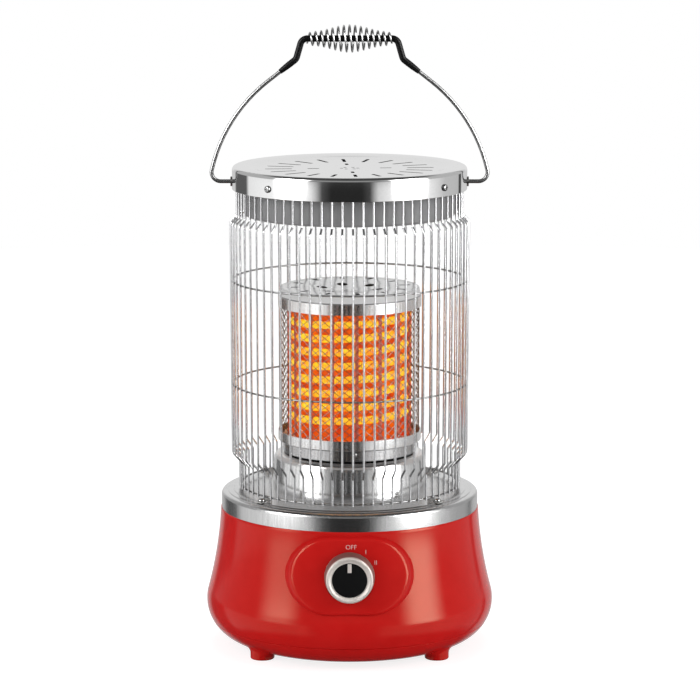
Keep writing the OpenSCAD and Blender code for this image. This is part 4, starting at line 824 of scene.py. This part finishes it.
hot_ceramic = grained("hot_ceramic", (0.44, 0.095, 0.070), (0.57, 0.16, 0.12), (0.5, 0.7), 260, 120, bump=0.3,
                      depth=0.0004)
tree, sockets, fired, place = surface(hot_ceramic)
reach = reach_of(tree, place)
heat = between(tree, reach, RIB_RISE, CORE_GLOW, RIB_GLOW, way="LINEAR")
plug(tree, heat, sockets["Emission Strength"])
plug(tree, mixed(tree, between(tree, reach, RIB_RISE), CORE_DARK, fired), sockets["Base Color"])
glow_in_patches(tree, place, CORE_PATCHES, CORE_EMBERS)
finish(hot_ceramic, "ceramic_core")


# Heating winding: resistance wire wound into a close coil, and the coil threaded round the core eight times.
# At full heat it glows yellow, and orange where it is cooler.
WINDING_R = 0.0575
WINDING_D = 0.0066
WINDING_TURNS = 8
WINDING_PITCH = 0.0137
WINDING_GLOW = 1.0
WINDING_TONE = (0.20, 0.10, 0.05, 1)
WINDING_PATCHES = 150.0
WINDING_EMBERS = ((0.30, (1.0, 0.20, 0.004, 1)), (0.48, (1.0, 0.48, 0.008, 1)), (0.70, (1.0, 0.74, 0.020, 1)))
WINDING_ROUGH = (0.5, 0.8)
HEAT_COIL_D = 0.0078
HEAT_WIRE_R = 0.00062
HEAT_COILS = 1500
HEAT_COIL_STEPS = 10
HEAT_WIRE_SIDES = 5
winding_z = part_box("heating_winding")[0].z + WINDING_D / 2


def swept(points, radius, sides):
    """A closed round tube along points, of one radius or of one for each point, that never twists."""
    radii = radius if isinstance(radius, list) else [radius] * len(points)
    rings = [[points[0]]]
    side = None
    for i, point in enumerate(points):
        ahead = (points[min(i + 1, len(points) - 1)] - points[max(i - 1, 0)]).normalized()
        if side is None:
            side = ahead.orthogonal()
        side = (side - side.dot(ahead) * ahead).normalized()
        other = ahead.cross(side)
        rings.append([point + radii[i] * (cos(t) * side + sin(t) * other) for t in all_round(sides)])
    rings.append([points[-1]])
    return loft(rings)


def on_winding(share):
    """A point of the fine coil, at a share of its way from the lower end to the upper one."""
    turn = 2 * pi * WINDING_TURNS * share
    outward = Vector((-sin(turn), cos(turn), 0))
    middle = WINDING_R * outward + Vector((0, 0, winding_z + WINDING_PITCH * WINDING_TURNS * share))
    phase = 2 * pi * HEAT_COILS * share
    small_r = HEAT_COIL_D / 2 - HEAT_WIRE_R
    return middle + small_r * (cos(phase) * outward + sin(phase) * Vector((0, 0, 1)))


hot_wire, tree, sockets = new_finish("hot_wire")
sockets["Base Color"].default_value = WINDING_TONE
sockets["Emission Strength"].default_value = WINDING_GLOW
patches = glow_in_patches(tree, spot(tree), WINDING_PATCHES, WINDING_EMBERS)
plug(tree, between(tree, patches, (0, 1), *WINDING_ROUGH, way="LINEAR"), sockets["Roughness"])

coil_count = HEAT_COILS * HEAT_COIL_STEPS
coil_points = [on_winding(i / coil_count) for i in range(coil_count + 1)]
coil_points.insert(0, coil_points[0] + Vector((WINDING_D, 0, 0)))
coil_points.append(coil_points[-1] - Vector((WINDING_D, 0, 0)))
winding_mesh = make_mesh("glowing_winding", swept(coil_points, HEAT_WIRE_R, HEAT_WIRE_SIDES), sharp=180)
fit_piece(winding_mesh, hot_wire, "hot_coil", "heating_winding")


# Element's mesh: a sleeve of fine diamond mesh round the core, tucked into the tray and the cap.
# It is drawn as two sets of slanting strands that cross each other all round.
MESH_STRANDS = 44
MESH_TURN = 0.43
STRAND_R = 0.00034
STRAND_STEPS = 40
STRAND_SIDES = 6
mesh_low, mesh_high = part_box("element_mesh")


def new_tree(name, **inputs):
    """A tree of geometry nodes with named inputs, the outlets of its input and the inlet of its output."""
    tree = bpy.data.node_groups.new(name, "GeometryNodeTree")
    tree.interface.new_socket("Geometry", in_out="INPUT", socket_type="NodeSocketGeometry")
    for label, kind in inputs.items():
        tree.interface.new_socket(label.replace("_", " "), in_out="INPUT", socket_type="NodeSocket" + kind)
    tree.interface.new_socket("Geometry", in_out="OUTPUT", socket_type="NodeSocketGeometry")
    return tree, tree.nodes.new("NodeGroupInput").outputs, tree.nodes.new("NodeGroupOutput").inputs[0]


def set_round(tree, instance, count, start):
    """Copies of a geometry set round the heater's axis, as instances."""
    spots = add_node(tree, "MeshLine", Count=count, Offset=(0, 0, 0))
    step = worked_out(tree, "DIVIDE", 2 * pi, count)
    turn = worked_out(tree, "MULTIPLY_ADD", add_node(tree, "InputIndex"), step, start)
    spin = add_node(tree, "CombineXYZ", Z=turn)
    return add_node(tree, "InstanceOnPoints", Points=spots, Instance=instance, Rotation=spin)


def join(tree, *parts):
    """Several geometries as one."""
    joined = add_node(tree, "JoinGeometry")
    for part in parts:
        plug(tree, part, joined.inputs[0])
    return joined


def close_tree(tree, geometry, material, outlet):
    """Ends a tree: instances made real, shaded smooth and given their finish."""
    real = add_node(tree, "RealizeInstances", Geometry=geometry)
    soft = add_node(tree, "SetShadeSmooth", Geometry=real)
    plug(tree, add_node(tree, "SetMaterial", Geometry=soft, Material=material), outlet)


def grown(name, tree, seed_mesh=None, **sizes):
    """The plain mesh that a tree makes from its sizes."""
    seed = bpy.data.objects.new(name, seed_mesh or bpy.data.meshes.new(name))
    modifier = seed.modifiers.new("tree", "NODES")
    modifier.node_group = tree
    for item in tree.interface.items_tree:
        label = item.name.replace(" ", "_")
        if item.in_out == "INPUT" and label in sizes:
            modifier[item.identifier] = sizes[label]
    return as_mesh(name, seed)


mesh_steel = grained("mesh_steel", (0.22, 0.19, 0.17), (0.34, 0.30, 0.27), (0.12, 0.20), 300, metallic=1.0)
tree, inlet, outlet = new_tree("diamond_sleeve", Strands="Int", Radius="Float", Height="Float", Foot="Float",
                               Turn="Float", Strand_Radius="Float", Finish="Material")
section = add_node(tree, "CurvePrimitiveCircle", Resolution=STRAND_SIDES, Radius=inlet["Strand Radius"])
families = []
for reverse in (False, True):
    slant = add_node(tree, "CurveSpiral", Resolution=STRAND_STEPS, Rotations=inlet["Turn"],
                     Start_Radius=inlet["Radius"], End_Radius=inlet["Radius"], Height=inlet["Height"],
                     Reverse=reverse)
    strand = add_node(tree, "CurveToMesh", Curve=slant, Profile_Curve=section, Fill_Caps=True)
    families.append(set_round(tree, strand, inlet["Strands"], 0.0))
lift = add_node(tree, "CombineXYZ", Z=inlet["Foot"])
sleeve = add_node(tree, "Transform", Geometry=join(tree, *families), Translation=lift)
close_tree(tree, sleeve, inlet["Finish"], outlet)
sleeve_mesh = grown("diamond_mesh", tree, Strands=MESH_STRANDS, Radius=mesh_high.x - 2 * STRAND_R,
                    Height=mesh_high.z - mesh_low.z, Foot=mesh_low.z, Turn=MESH_TURN, Strand_Radius=STRAND_R,
                    Finish=mesh_steel)
fit_piece(sleeve_mesh, mesh_steel, "mesh_steel", "element_mesh")


# Element's cap: a polished steel band with a satin crown, whose top has a shallow dish.
# Slots in its rim and holes in its dish let the hot air out. Their cut walls and the sheet's underside are
# painted near-black, a painted shade, and so is a thin line along the crown's foot.
CAP_CROWN_H = 0.0082
CAP_LEAN = 0.0018
CAP_CORNER_R = 0.0015
CAP_EDGE = 0.0004
CAP_DISH_R = 0.0472
CAP_FLOOR_R = 0.010
CAP_SINK = 0.0044
CROWN_TONE = 0.70
CROWN_ROUGH = 0.5
CROWN_FOOT = (-0.0001, 0.0003)
# Band at the crown's foot where a dark line of painted shade is drawn
CROWN_SEAM = (0.0004, 0.0009)
CROWN_TOP = (-0.0008, -0.0002)
TOP_RIM = (-0.0004, 0.0)
# Near-black tone of the painted shade in the openings, under the dish and along the crown's foot, and how far
# below the top face it starts
CAP_PAINTED_SHADE = (0.015, 0.014, 0.013, 1)
VENT_DEPTH = (0.00002, 0.00006)
# Openings of a sheet, ring by ring: count, inner and outer radius, width and turn
CAP_ROWS = ((12, 0.0497, 0.0615, 0.0044, 8.0), (6, 0.0231, 0.0341, 0.011, 45.0),
            (6, 0.0037, 0.0063, 0.0026, 0.0))
PUNCH_DEPTH = 0.006
PUNCH_END = 0.499
PUNCH_END_STEPS = 6
cap_low, cap_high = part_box("element_cap")
cap_r = cap_high.x
crown_r = cap_r - CAP_LEAN
crown_z = cap_high.z - CAP_CROWN_H
top_r = crown_r - CAP_CORNER_R

punch_tree, inlet, outlet = new_tree(
    "pierced_sheet", Height="Float", Depth="Float", Finish="Material",
    **{f"{size}_{row}": kind for row in "123" for size, kind in
       (("Count", "Int"), ("Inner", "Float"), ("Outer", "Float"), ("Width", "Float"), ("Turn", "Float"))})
punch_foot = worked_out(punch_tree, "SUBTRACT", inlet["Height"], inlet["Depth"])
punch_length = times(punch_tree, inlet["Depth"], 2.0)
punches = []
for row in "123":
    inner, outer, width = (inlet[f"{size} {row}"] for size in ("Inner", "Outer", "Width"))
    length = worked_out(punch_tree, "SUBTRACT", outer, inner)
    middle = times(punch_tree, worked_out(punch_tree, "ADD", outer, inner), 0.5)
    box_curve = add_node(punch_tree, "CurvePrimitiveQuadrilateral", Width=length, Height=width)
    rounded = add_node(punch_tree, "FilletCurve", {"mode": "POLY"}, Curve=box_curve,
                       Count=PUNCH_END_STEPS, Radius=times(punch_tree, width, PUNCH_END), Limit_Radius=True)
    face = add_node(punch_tree, "FillCurve", {"mode": "NGONS"}, Curve=rounded)
    raised = add_node(punch_tree, "ExtrudeMesh", {"mode": "FACES"}, Mesh=face, Individual=False,
                      Offset_Scale=punch_length)
    under = add_node(punch_tree, "FlipFaces", Mesh=face)
    closed = add_node(punch_tree, "MergeByDistance", Geometry=join(punch_tree, raised, under),
                      Distance=1e-6)
    shift = add_node(punch_tree, "CombineXYZ", X=middle, Z=punch_foot)
    moved = add_node(punch_tree, "Transform", Geometry=closed, Translation=shift)
    punches.append(set_round(punch_tree, moved, inlet[f"Count {row}"], inlet[f"Turn {row}"]))
cutters = add_node(punch_tree, "RealizeInstances", Geometry=join(punch_tree, *punches))
pierced = add_node(punch_tree, "MeshBoolean", {"operation": "DIFFERENCE", "solver": "EXACT"},
                   Mesh_1=inlet["Geometry"], Mesh_2=cutters)
close_tree(punch_tree, pierced, inlet["Finish"], outlet)


def pierced_sheet(name, outline, height, rows, material):
    """A turned sheet with rings of openings punched through it at a height."""
    sizes = {}
    for row, (count, inner, outer, width, turn) in zip("123", rows):
        sizes |= {f"Count_{row}": count, f"Inner_{row}": inner, f"Outer_{row}": outer, f"Width_{row}": width,
                  f"Turn_{row}": radians(turn)}
    mesh = grown(name, punch_tree, make_mesh("blank", turned(outline)), Height=height, Depth=PUNCH_DEPTH,
                 Finish=material, **sizes)
    mesh.set_sharp_from_angle(angle=radians(SHARP_EDGE))
    return mesh


cap_steel = grained("cap_steel", 0.82, 0.90, (0.15, 0.20), 500, 60, metallic=1.0)
tree, sockets, bright, place = surface(cap_steel)
gloss = sockets["Roughness"].links[0].from_socket
rise = on_axis(tree, place, "Z")
reach = reach_of(tree, place)
on_crown = times(tree, between(tree, rise, CROWN_FOOT, start=crown_z),
                 between(tree, reach, CROWN_TOP, start=crown_r))
# The openings' cut walls, the dish's underside and a line along the crown's foot are painted near-black:
# painted shade.
in_seam = times(tree, on_crown, between(tree, rise, CROWN_SEAM, 1.0, 0.0, crown_z))
top_face = between(tree, reach, (CAP_FLOOR_R, CAP_DISH_R), cap_high.z - CAP_SINK, cap_high.z, way="LINEAR")
in_vent = times(tree, between(tree, worked_out(tree, "SUBTRACT", top_face, rise), VENT_DEPTH),
                between(tree, reach, TOP_RIM, 1.0, 0.0, top_r))
faced = mixed(tree, on_crown, bright, grey(CROWN_TONE))
painted_shade_share = worked_out(tree, "MAXIMUM", in_vent, in_seam)
plug(tree, mixed(tree, painted_shade_share, faced, CAP_PAINTED_SHADE), sockets["Base Color"])
matt = worked_out(tree, "MAXIMUM", on_crown, in_vent)
plug(tree, mixed(tree, matt, gloss, grey(CROWN_ROUGH)), sockets["Roughness"])
plug(tree, worked_out(tree, "SUBTRACT", 1.0, matt), sockets["Metallic"])
cap_corner = (top_r, cap_high.z - CAP_CORNER_R)
dish = [(CAP_DISH_R, 0.0), (CAP_FLOOR_R, -CAP_SINK), (0.0, -CAP_SINK)]
cap_outline = [(cap_r - BAND_T, cap_low.z), (cap_r, cap_low.z), (cap_r, crown_z - CAP_EDGE),
               (cap_r - CAP_EDGE, crown_z)]
cap_outline += arc(cap_corner, CAP_CORNER_R, 0, 90, 6)
cap_outline += [(r, cap_high.z + z) for r, z in dish]
cap_outline += [(r, cap_high.z + z - BAND_T) for r, z in reversed(dish)]
cap_outline += arc(cap_corner, CAP_CORNER_R - BAND_T, 90, 0, 6) + [(cap_r - BAND_T, crown_z)]
cap_mesh = pierced_sheet("pierced_cap", cap_outline, cap_high.z, CAP_ROWS, cap_steel)
fit_piece(cap_mesh, cap_steel, "polished_steel", "element_cap")


# Guard: upright wires bent in at a lower and an upper neck, welded to four ring wires inside them.
# The wires are chromed after welding.
WIRE_COUNT = 70
WIRE_R = 0.00105
WIRE_TURN = 1.65
WIRE_BEND_R = 0.004
WIRE_BEND_STEPS = 6
WIRE_SIDES = 10
HOOP_SIDES = 14
# Corners of a wire: radius and height, from the lower neck up over the barrel to the upper neck
WIRE_PATH = ((0.1102, 0.1610), (0.1102, 0.1880), (0.1174, 0.1960), (0.1186, 0.4275), (0.1122, 0.4340),
             (0.1122, 0.4622))

guard_chrome = grained("guard_chrome", (0.70, 0.70, 0.71), (0.84, 0.84, 0.85), (0.12, 0.24), 400, 60,
                       metallic=1.0, bump=0.03, depth=0.0001)
ring_chrome = grained("ring_chrome", 0.34, 0.44, (0.40, 0.50), 400, metallic=1.0)
tree, inlet, outlet = new_tree("upright_wires", Count="Int", Start="Float", Bend="Float", Wire_Radius="Float",
                               Finish="Material")
bare = add_node(tree, "MeshToCurve", Mesh=inlet["Geometry"])
bent = add_node(tree, "FilletCurve", {"mode": "POLY"}, Curve=bare, Count=WIRE_BEND_STEPS,
                Radius=inlet["Bend"], Limit_Radius=True)
section = add_node(tree, "CurvePrimitiveCircle", Resolution=WIRE_SIDES, Radius=inlet["Wire Radius"])
wire = add_node(tree, "CurveToMesh", Curve=bent, Profile_Curve=section, Fill_Caps=True)
close_tree(tree, set_round(tree, wire, inlet["Count"], inlet["Start"]), inlet["Finish"], outlet)
wire_line = bpy.data.meshes.new("wire_line")
wire_line.from_pydata([(r, 0, z) for r, z in WIRE_PATH], [(i, i + 1) for i in range(len(WIRE_PATH) - 1)], [])
wires_mesh = grown("upright_wires", tree, wire_line, Count=WIRE_COUNT, Start=radians(WIRE_TURN - 90),
                   Bend=WIRE_BEND_R, Wire_Radius=WIRE_R, Finish=guard_chrome)
fit_piece(wires_mesh, guard_chrome, "guard_steel", "guard_wires")
for place_name in ("bottom", "lower", "upper", "top"):
    hoop_low, hoop_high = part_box("guard_ring_" + place_name)
    hoop_r = (hoop_high.z - hoop_low.z) / 2
    hoop = arc((hoop_high.x - hoop_r, hoop_low.z + hoop_r), hoop_r, 0, 360 - 360 / HOOP_SIDES, HOOP_SIDES - 1)
    hoop_mesh = make_mesh("hoop_" + place_name, turned(hoop), sharp=180)
    fit_piece(hoop_mesh, ring_chrome, "guard_steel", "guard_ring_" + place_name)


# Heat shield: a grey steel pan under the lid with radial vents, whose flange lies on the wires' tops.
# Brackets welded to the wires hold it and take the lid's screws.
SHIELD_T = 0.0008
SHIELD_R = 0.105
SHIELD_EDGE_R = 0.003
SHIELD_ROWS = ((12, 0.034, 0.076, 0.007, 0.0),)
shield_low, shield_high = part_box("heat_shield")

shield_steel = grained("shield_steel", (0.25, 0.25, 0.253), (0.29, 0.29, 0.293), (0.62, 0.70), 200, 60,
                       metallic=0.15)
pan_edge = (SHIELD_R - SHIELD_EDGE_R, shield_low.z + SHIELD_EDGE_R)
shield_outline = [(0, shield_low.z)] + arc(pan_edge, SHIELD_EDGE_R, -90, 0, 8)
shield_outline += [(SHIELD_R, shield_high.z - SHIELD_T), (shield_high.x, shield_high.z - SHIELD_T),
                   (shield_high.x, shield_high.z), (SHIELD_R - SHIELD_T, shield_high.z)]
shield_outline += arc(pan_edge, SHIELD_EDGE_R - SHIELD_T, 0, -90, 8) + [(0, shield_low.z + SHIELD_T)]
shield_mesh = pierced_sheet("shield_pan", shield_outline, shield_low.z, SHIELD_ROWS, shield_steel)
fit_piece(shield_mesh, shield_steel, "shield_steel", "heat_shield")
finish(plated_steel, "lid_brackets")


# Lid: a mirror-polished steel cover with a rolled edge and a sunk middle, slotted for the hot air.
# Four pan-head screws hold its band to the brackets.
LID_EDGE_R = 0.004
LID_LIP = 0.0003
LID_RECESS = 0.003
LID_RIM = 0.017
LID_STEP = 0.003
LID_SLOPE = 0.012
LID_SLOPE_STEPS = 16
LID_TURN = 4.8
LID_ROWS = ((20, 0.057, 0.084, 0.0034, 90 + LID_TURN), (4, 0.030, 0.042, 0.0034, LID_TURN),
            (6, 0.0063, 0.0097, 0.0034, LID_TURN))
lid_low, lid_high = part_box("lid")
lid_r = lid_high.x
sunk_z = lid_high.z - LID_RECESS
slope_in = lid_r - LID_RIM - LID_SLOPE
slope_out = lid_r - LID_RIM + LID_STEP

bright_steel = grained("bright_steel", 0.92, 0.97, (0.04, 0.08), 500, metallic=1.0)
lid_edge = (lid_r - LID_EDGE_R, lid_high.z - LID_EDGE_R)
lid_outline = [(lid_r - SHEET, lid_low.z), (lid_r - LID_LIP, lid_low.z), (lid_r, lid_low.z + LID_LIP)]
lid_outline += arc(lid_edge, LID_EDGE_R, 0, 90)
slope = []
for i in range(LID_SLOPE_STEPS + 1):
    t = i / LID_SLOPE_STEPS
    slope.append((slope_out + (slope_in - slope_out) * t, sunk_z + LID_RECESS * (1 + cos(pi * t)) / 2))
lid_outline += slope + [(0, sunk_z), (0, sunk_z - SHEET)] + [(r, z - SHEET) for r, z in reversed(slope)]
lid_outline += arc(lid_edge, LID_EDGE_R - SHEET, 90, 0)
lid_mesh = pierced_sheet("slotted_lid", lid_outline, sunk_z, LID_ROWS, bright_steel)
fit_piece(lid_mesh, bright_steel, "polished_steel", "lid")
finish(bright_screw, "lid_screws")
finish(plated_steel, "bail_bushes", "bail_clips")


# Bail: a handle of bright steel wire that swings in two bushes in the lid's band.
# A black sleeve covers its grip, its shanks and the upper part of its shoulders.
BAIL_R = 0.002
BAIL_SIDES = 20
BEND_STEPS = 14
# Corners of half the bail, from its inner end to the corner at the grip, and the bend at each
BAIL_HALF = ((0.10756, 0.4670), (0.13906, 0.4670), (0.12398, 0.53233), (0.05265, 0.58806), (0.04686, 0.60825))
BAIL_BENDS = (0.0, 0.009, 0.156, 0.007, 0.007)
SLEEVE_R = 0.00325
SLEEVE_SIDES = 24
SLEEVE_FOOT = (0.06863, 0.57558)
SLEEVE_TAPER = 0.014
SLEEVE_TIP_R = 0.0025
SLEEVE_STEPS = 16
SOFT_EDGE = 60


def rounded_line(corners, bends):
    """Points along a line in the XZ plane whose corners are rounded."""
    points = [Vector((corners[0][0], 0, corners[0][1]))]
    for i in range(1, len(corners) - 1):
        before, corner, after = (Vector((x, 0, z)) for x, z in corners[i - 1:i + 2])
        inward = (before - corner).normalized()
        outward = (after - corner).normalized()
        half = inward.angle(outward) / 2
        reach = bends[i] / tan(half)
        centre = corner + (inward + outward).normalized() * bends[i] / sin(half)
        start = corner + reach * inward - centre
        end = corner + reach * outward - centre
        turn = start.angle(end)
        steps = max(4, round(BEND_STEPS * degrees(turn) / 45))
        for k in range(steps + 1):
            t = k / steps * turn
            points.append(centre + (sin(turn - t) * start + sin(t) * end) / sin(turn))
    points.append(Vector((corners[-1][0], 0, corners[-1][1])))
    return points


def mirrored_line(half, bends):
    """A whole line from one half of it, which ends at the corner next to the middle."""
    corners = list(half) + [(-x, z) for x, z in reversed(half)]
    return rounded_line(corners, list(bends) + list(reversed(bends)))


bail_chrome = grained("bail_chrome", 0.42, 0.50, (0.28, 0.36), 400, metallic=1.0)
sleeve_black = grained("sleeve_black", 0.0035, (0.0070, 0.0070, 0.0075), (0.30, 0.42), 500, specular=0.2,
                       bump=0.06, depth=0.0001)
bail_line = mirrored_line(BAIL_HALF, BAIL_BENDS)
bail_mesh = make_mesh("bail", swept(bail_line, BAIL_R, BAIL_SIDES), sharp=SOFT_EDGE)
fit_piece(bail_mesh, bail_chrome, "bail_steel", "bail_wire", body="bail")
sleeve_line = mirrored_line((SLEEVE_FOOT,) + BAIL_HALF[3:], (0.0,) + BAIL_BENDS[3:])
shares = [i / SLEEVE_STEPS for i in range(SLEEVE_STEPS)]
first_straight = [sleeve_line[0].lerp(sleeve_line[1], share) for share in shares]
last_straight = [sleeve_line[-1].lerp(sleeve_line[-2], share) for share in reversed(shares)]
sleeve_line = first_straight + sleeve_line[1:-1] + last_straight
sleeve_radii = []
for point in sleeve_line:
    run = min((point - sleeve_line[0]).length, (point - sleeve_line[-1]).length)
    taper = min(1.0, run / SLEEVE_TAPER)
    sleeve_radii.append(SLEEVE_TIP_R + (SLEEVE_R - SLEEVE_TIP_R) * sin(taper * pi / 2))
sleeve_mesh = make_mesh("sleeve", swept(sleeve_line, sleeve_radii, SLEEVE_SIDES), sharp=SOFT_EDGE)
fit_piece(sleeve_mesh, sleeve_black, "black_plastic", "grip_sleeve", body="bail")


# Coil grip: a barrelled coil of spring wire round the middle of the bail, tight on the sleeve at its ends
# and open between them, which keeps the hand off the hot handle.
GRIP_D = 0.028
GRIP_NECK_D = 0.0146
GRIP_WIRE_R = 0.00085
GRIP_WIRE_SIDES = 10
GRIP_TURNS = 15
GRIP_STEPS = 40
GRIP_BARREL = 2.6
GRIP_INSET = 0.005
GRIP_SLACK = 0.0002
grip_half = BAIL_HALF[-1][0] - GRIP_INSET
grip_z = BAIL_HALF[-1][1]
grip_end_r = SLEEVE_R + GRIP_WIRE_R + GRIP_SLACK
grip_neck_r = GRIP_NECK_D / 2 - GRIP_WIRE_R
grip_mid_r = GRIP_D / 2 - GRIP_WIRE_R


def on_grip(share):
    """A point of the coil grip, at a share of its way from left to right."""
    opened = sin(pi / 2 * min(1.0, GRIP_TURNS * min(share, 1 - share)))
    swell = max(sin(pi * share), 0.0) ** GRIP_BARREL
    radius = grip_end_r + (grip_neck_r - grip_end_r) * opened + (grip_mid_r - grip_neck_r) * swell
    turn = 2 * pi * GRIP_TURNS * share
    return Vector((grip_half * (2 * share - 1), radius * sin(turn), grip_z - radius * cos(turn)))


grip_chrome = grained("grip_chrome", 0.56, 0.68, (0.20, 0.28), 400, metallic=1.0)
grip_count = GRIP_TURNS * GRIP_STEPS
grip_line = [on_grip(i / grip_count) for i in range(grip_count + 1)]
grip_mesh = make_mesh("coil_grip", swept(grip_line, GRIP_WIRE_R, GRIP_WIRE_SIDES), sharp=SOFT_EDGE)
fit_piece(grip_mesh, grip_chrome, "bail_steel", "grip_spring", body="bail")


# Knob: a black hub on the switch's shaft, a satin silver ring round it and a dark face sunk in the ring.
# A short silver pointer joins the ring at the top of the face.
KNOB_D = 0.0455
KNOB_SIDES = 96
KNOB_EDGE_R = 0.0015
KNOB_LIP = 0.0008
KNOB_SKIRT = 0.002
RING_FIT = 0.00005
RING_HEEL = 0.0004
RING_LEAN = 5
RING_STEP = 0.0012
# The ring's bevel towards the face, in steps from its bore, and how far it falls at first
RING_BEVEL = (2.6, 2.2)
RING_FALL = 0.0002
# How far back from the front the satin ends and the metal wall starts, the wall's tint, and the front's metal
RING_FRONT = (0.0022, 0.0034)
RING_WALL = (0.40, 0.33, 0.30, 1)
FRONT_METAL = 0.6
FACE_EDGE_R = 0.0006
POINTER_EDGE_R = 0.0003
ring_low, ring_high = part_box("knob_ring")
hub_low, hub_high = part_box("knob_hub")
face_low, face_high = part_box("knob_face")
pointer_low, pointer_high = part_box("knob_pointer")
hub_r = hub_high.x
ring_inner = hub_r + RING_FIT
knob_back = ring_high.y
knob_depth = knob_back - ring_low.y


def knob_mesh(name, outline):
    """A mesh turned about the knob's axis, with its heights counted forwards from the knob's back."""
    shell = turned(outline, KNOB_SIDES)
    bmesh.ops.transform(shell, matrix=facing(knob_back, PANEL_Z), verts=shell.verts)
    return make_mesh(name, shell)


satin_silver = grained("satin_silver", (0.70, 0.645, 0.60), (0.78, 0.725, 0.68), (0.50, 0.58), 900, bump=0.02,
                       depth=0.0001)
tree, sockets, bright, place = surface(satin_silver)
wall_share = between(tree, on_axis(tree, place, "Y"), RING_FRONT, start=ring_low.y)
plug(tree, mixed(tree, wall_share, bright, RING_WALL), sockets["Base Color"])
plug(tree, worked_out(tree, "MULTIPLY_ADD", wall_share, 1.0 - FRONT_METAL, FRONT_METAL), sockets["Metallic"])
knob_black = grained("knob_black", (0.0040, 0.0040, 0.0042), (0.0070, 0.0070, 0.0075), (0.30, 0.36), 1500,
                     specular=0.25, bump=0.03, depth=0.00005)
ring_outline = [(ring_inner, 0), (ring_high.x - RING_HEEL, 0), (ring_high.x, RING_HEEL),
                (ring_high.x, KNOB_SKIRT)]
ring_outline += arc((KNOB_D / 2 - KNOB_EDGE_R, knob_depth - KNOB_EDGE_R), KNOB_EDGE_R, RING_LEAN, 90, 12)
ring_outline += [(ring_inner + RING_BEVEL[0] * RING_STEP, knob_depth),
                 (ring_inner + RING_BEVEL[1] * RING_STEP, knob_depth - RING_FALL),
                 (ring_inner + RING_STEP, knob_depth - KNOB_LIP), (ring_inner, knob_depth - KNOB_LIP)]
fit_piece(knob_mesh("knob_trim_ring", ring_outline), satin_silver, "knob_silver", "knob_ring", body="knob")
hub_front = knob_back - hub_low.y
hub_outline = [(0, 0), (hub_r, 0), (hub_r, hub_front), (0, hub_front)]
fit_piece(knob_mesh("knob_core", hub_outline), knob_black, "knob_black", "knob_hub", body="knob")
face_front = knob_back - face_low.y
face_outline = [(0, knob_back - face_high.y), (face_high.x, knob_back - face_high.y)]
face_outline += arc((face_high.x - FACE_EDGE_R, face_front - FACE_EDGE_R), FACE_EDGE_R, 0, 90, 6)
face_outline += [(0, face_front)]
fit_piece(knob_mesh("knob_dial", face_outline), knob_black, "knob_black", "knob_face", body="knob")

strip = bmesh.new()
bmesh.ops.create_cube(strip, size=1.0)
for vert in strip.verts:
    for axis in range(3):
        vert.co[axis] = pointer_high[axis] if vert.co[axis] > 0 else pointer_low[axis]
bmesh.ops.bevel(strip, geom=list(strip.edges), offset=POINTER_EDGE_R, segments=3, profile=0.5, affect="EDGES")
fit_piece(make_mesh("pointer", strip), satin_silver, "knob_silver", "knob_pointer", body="knob")
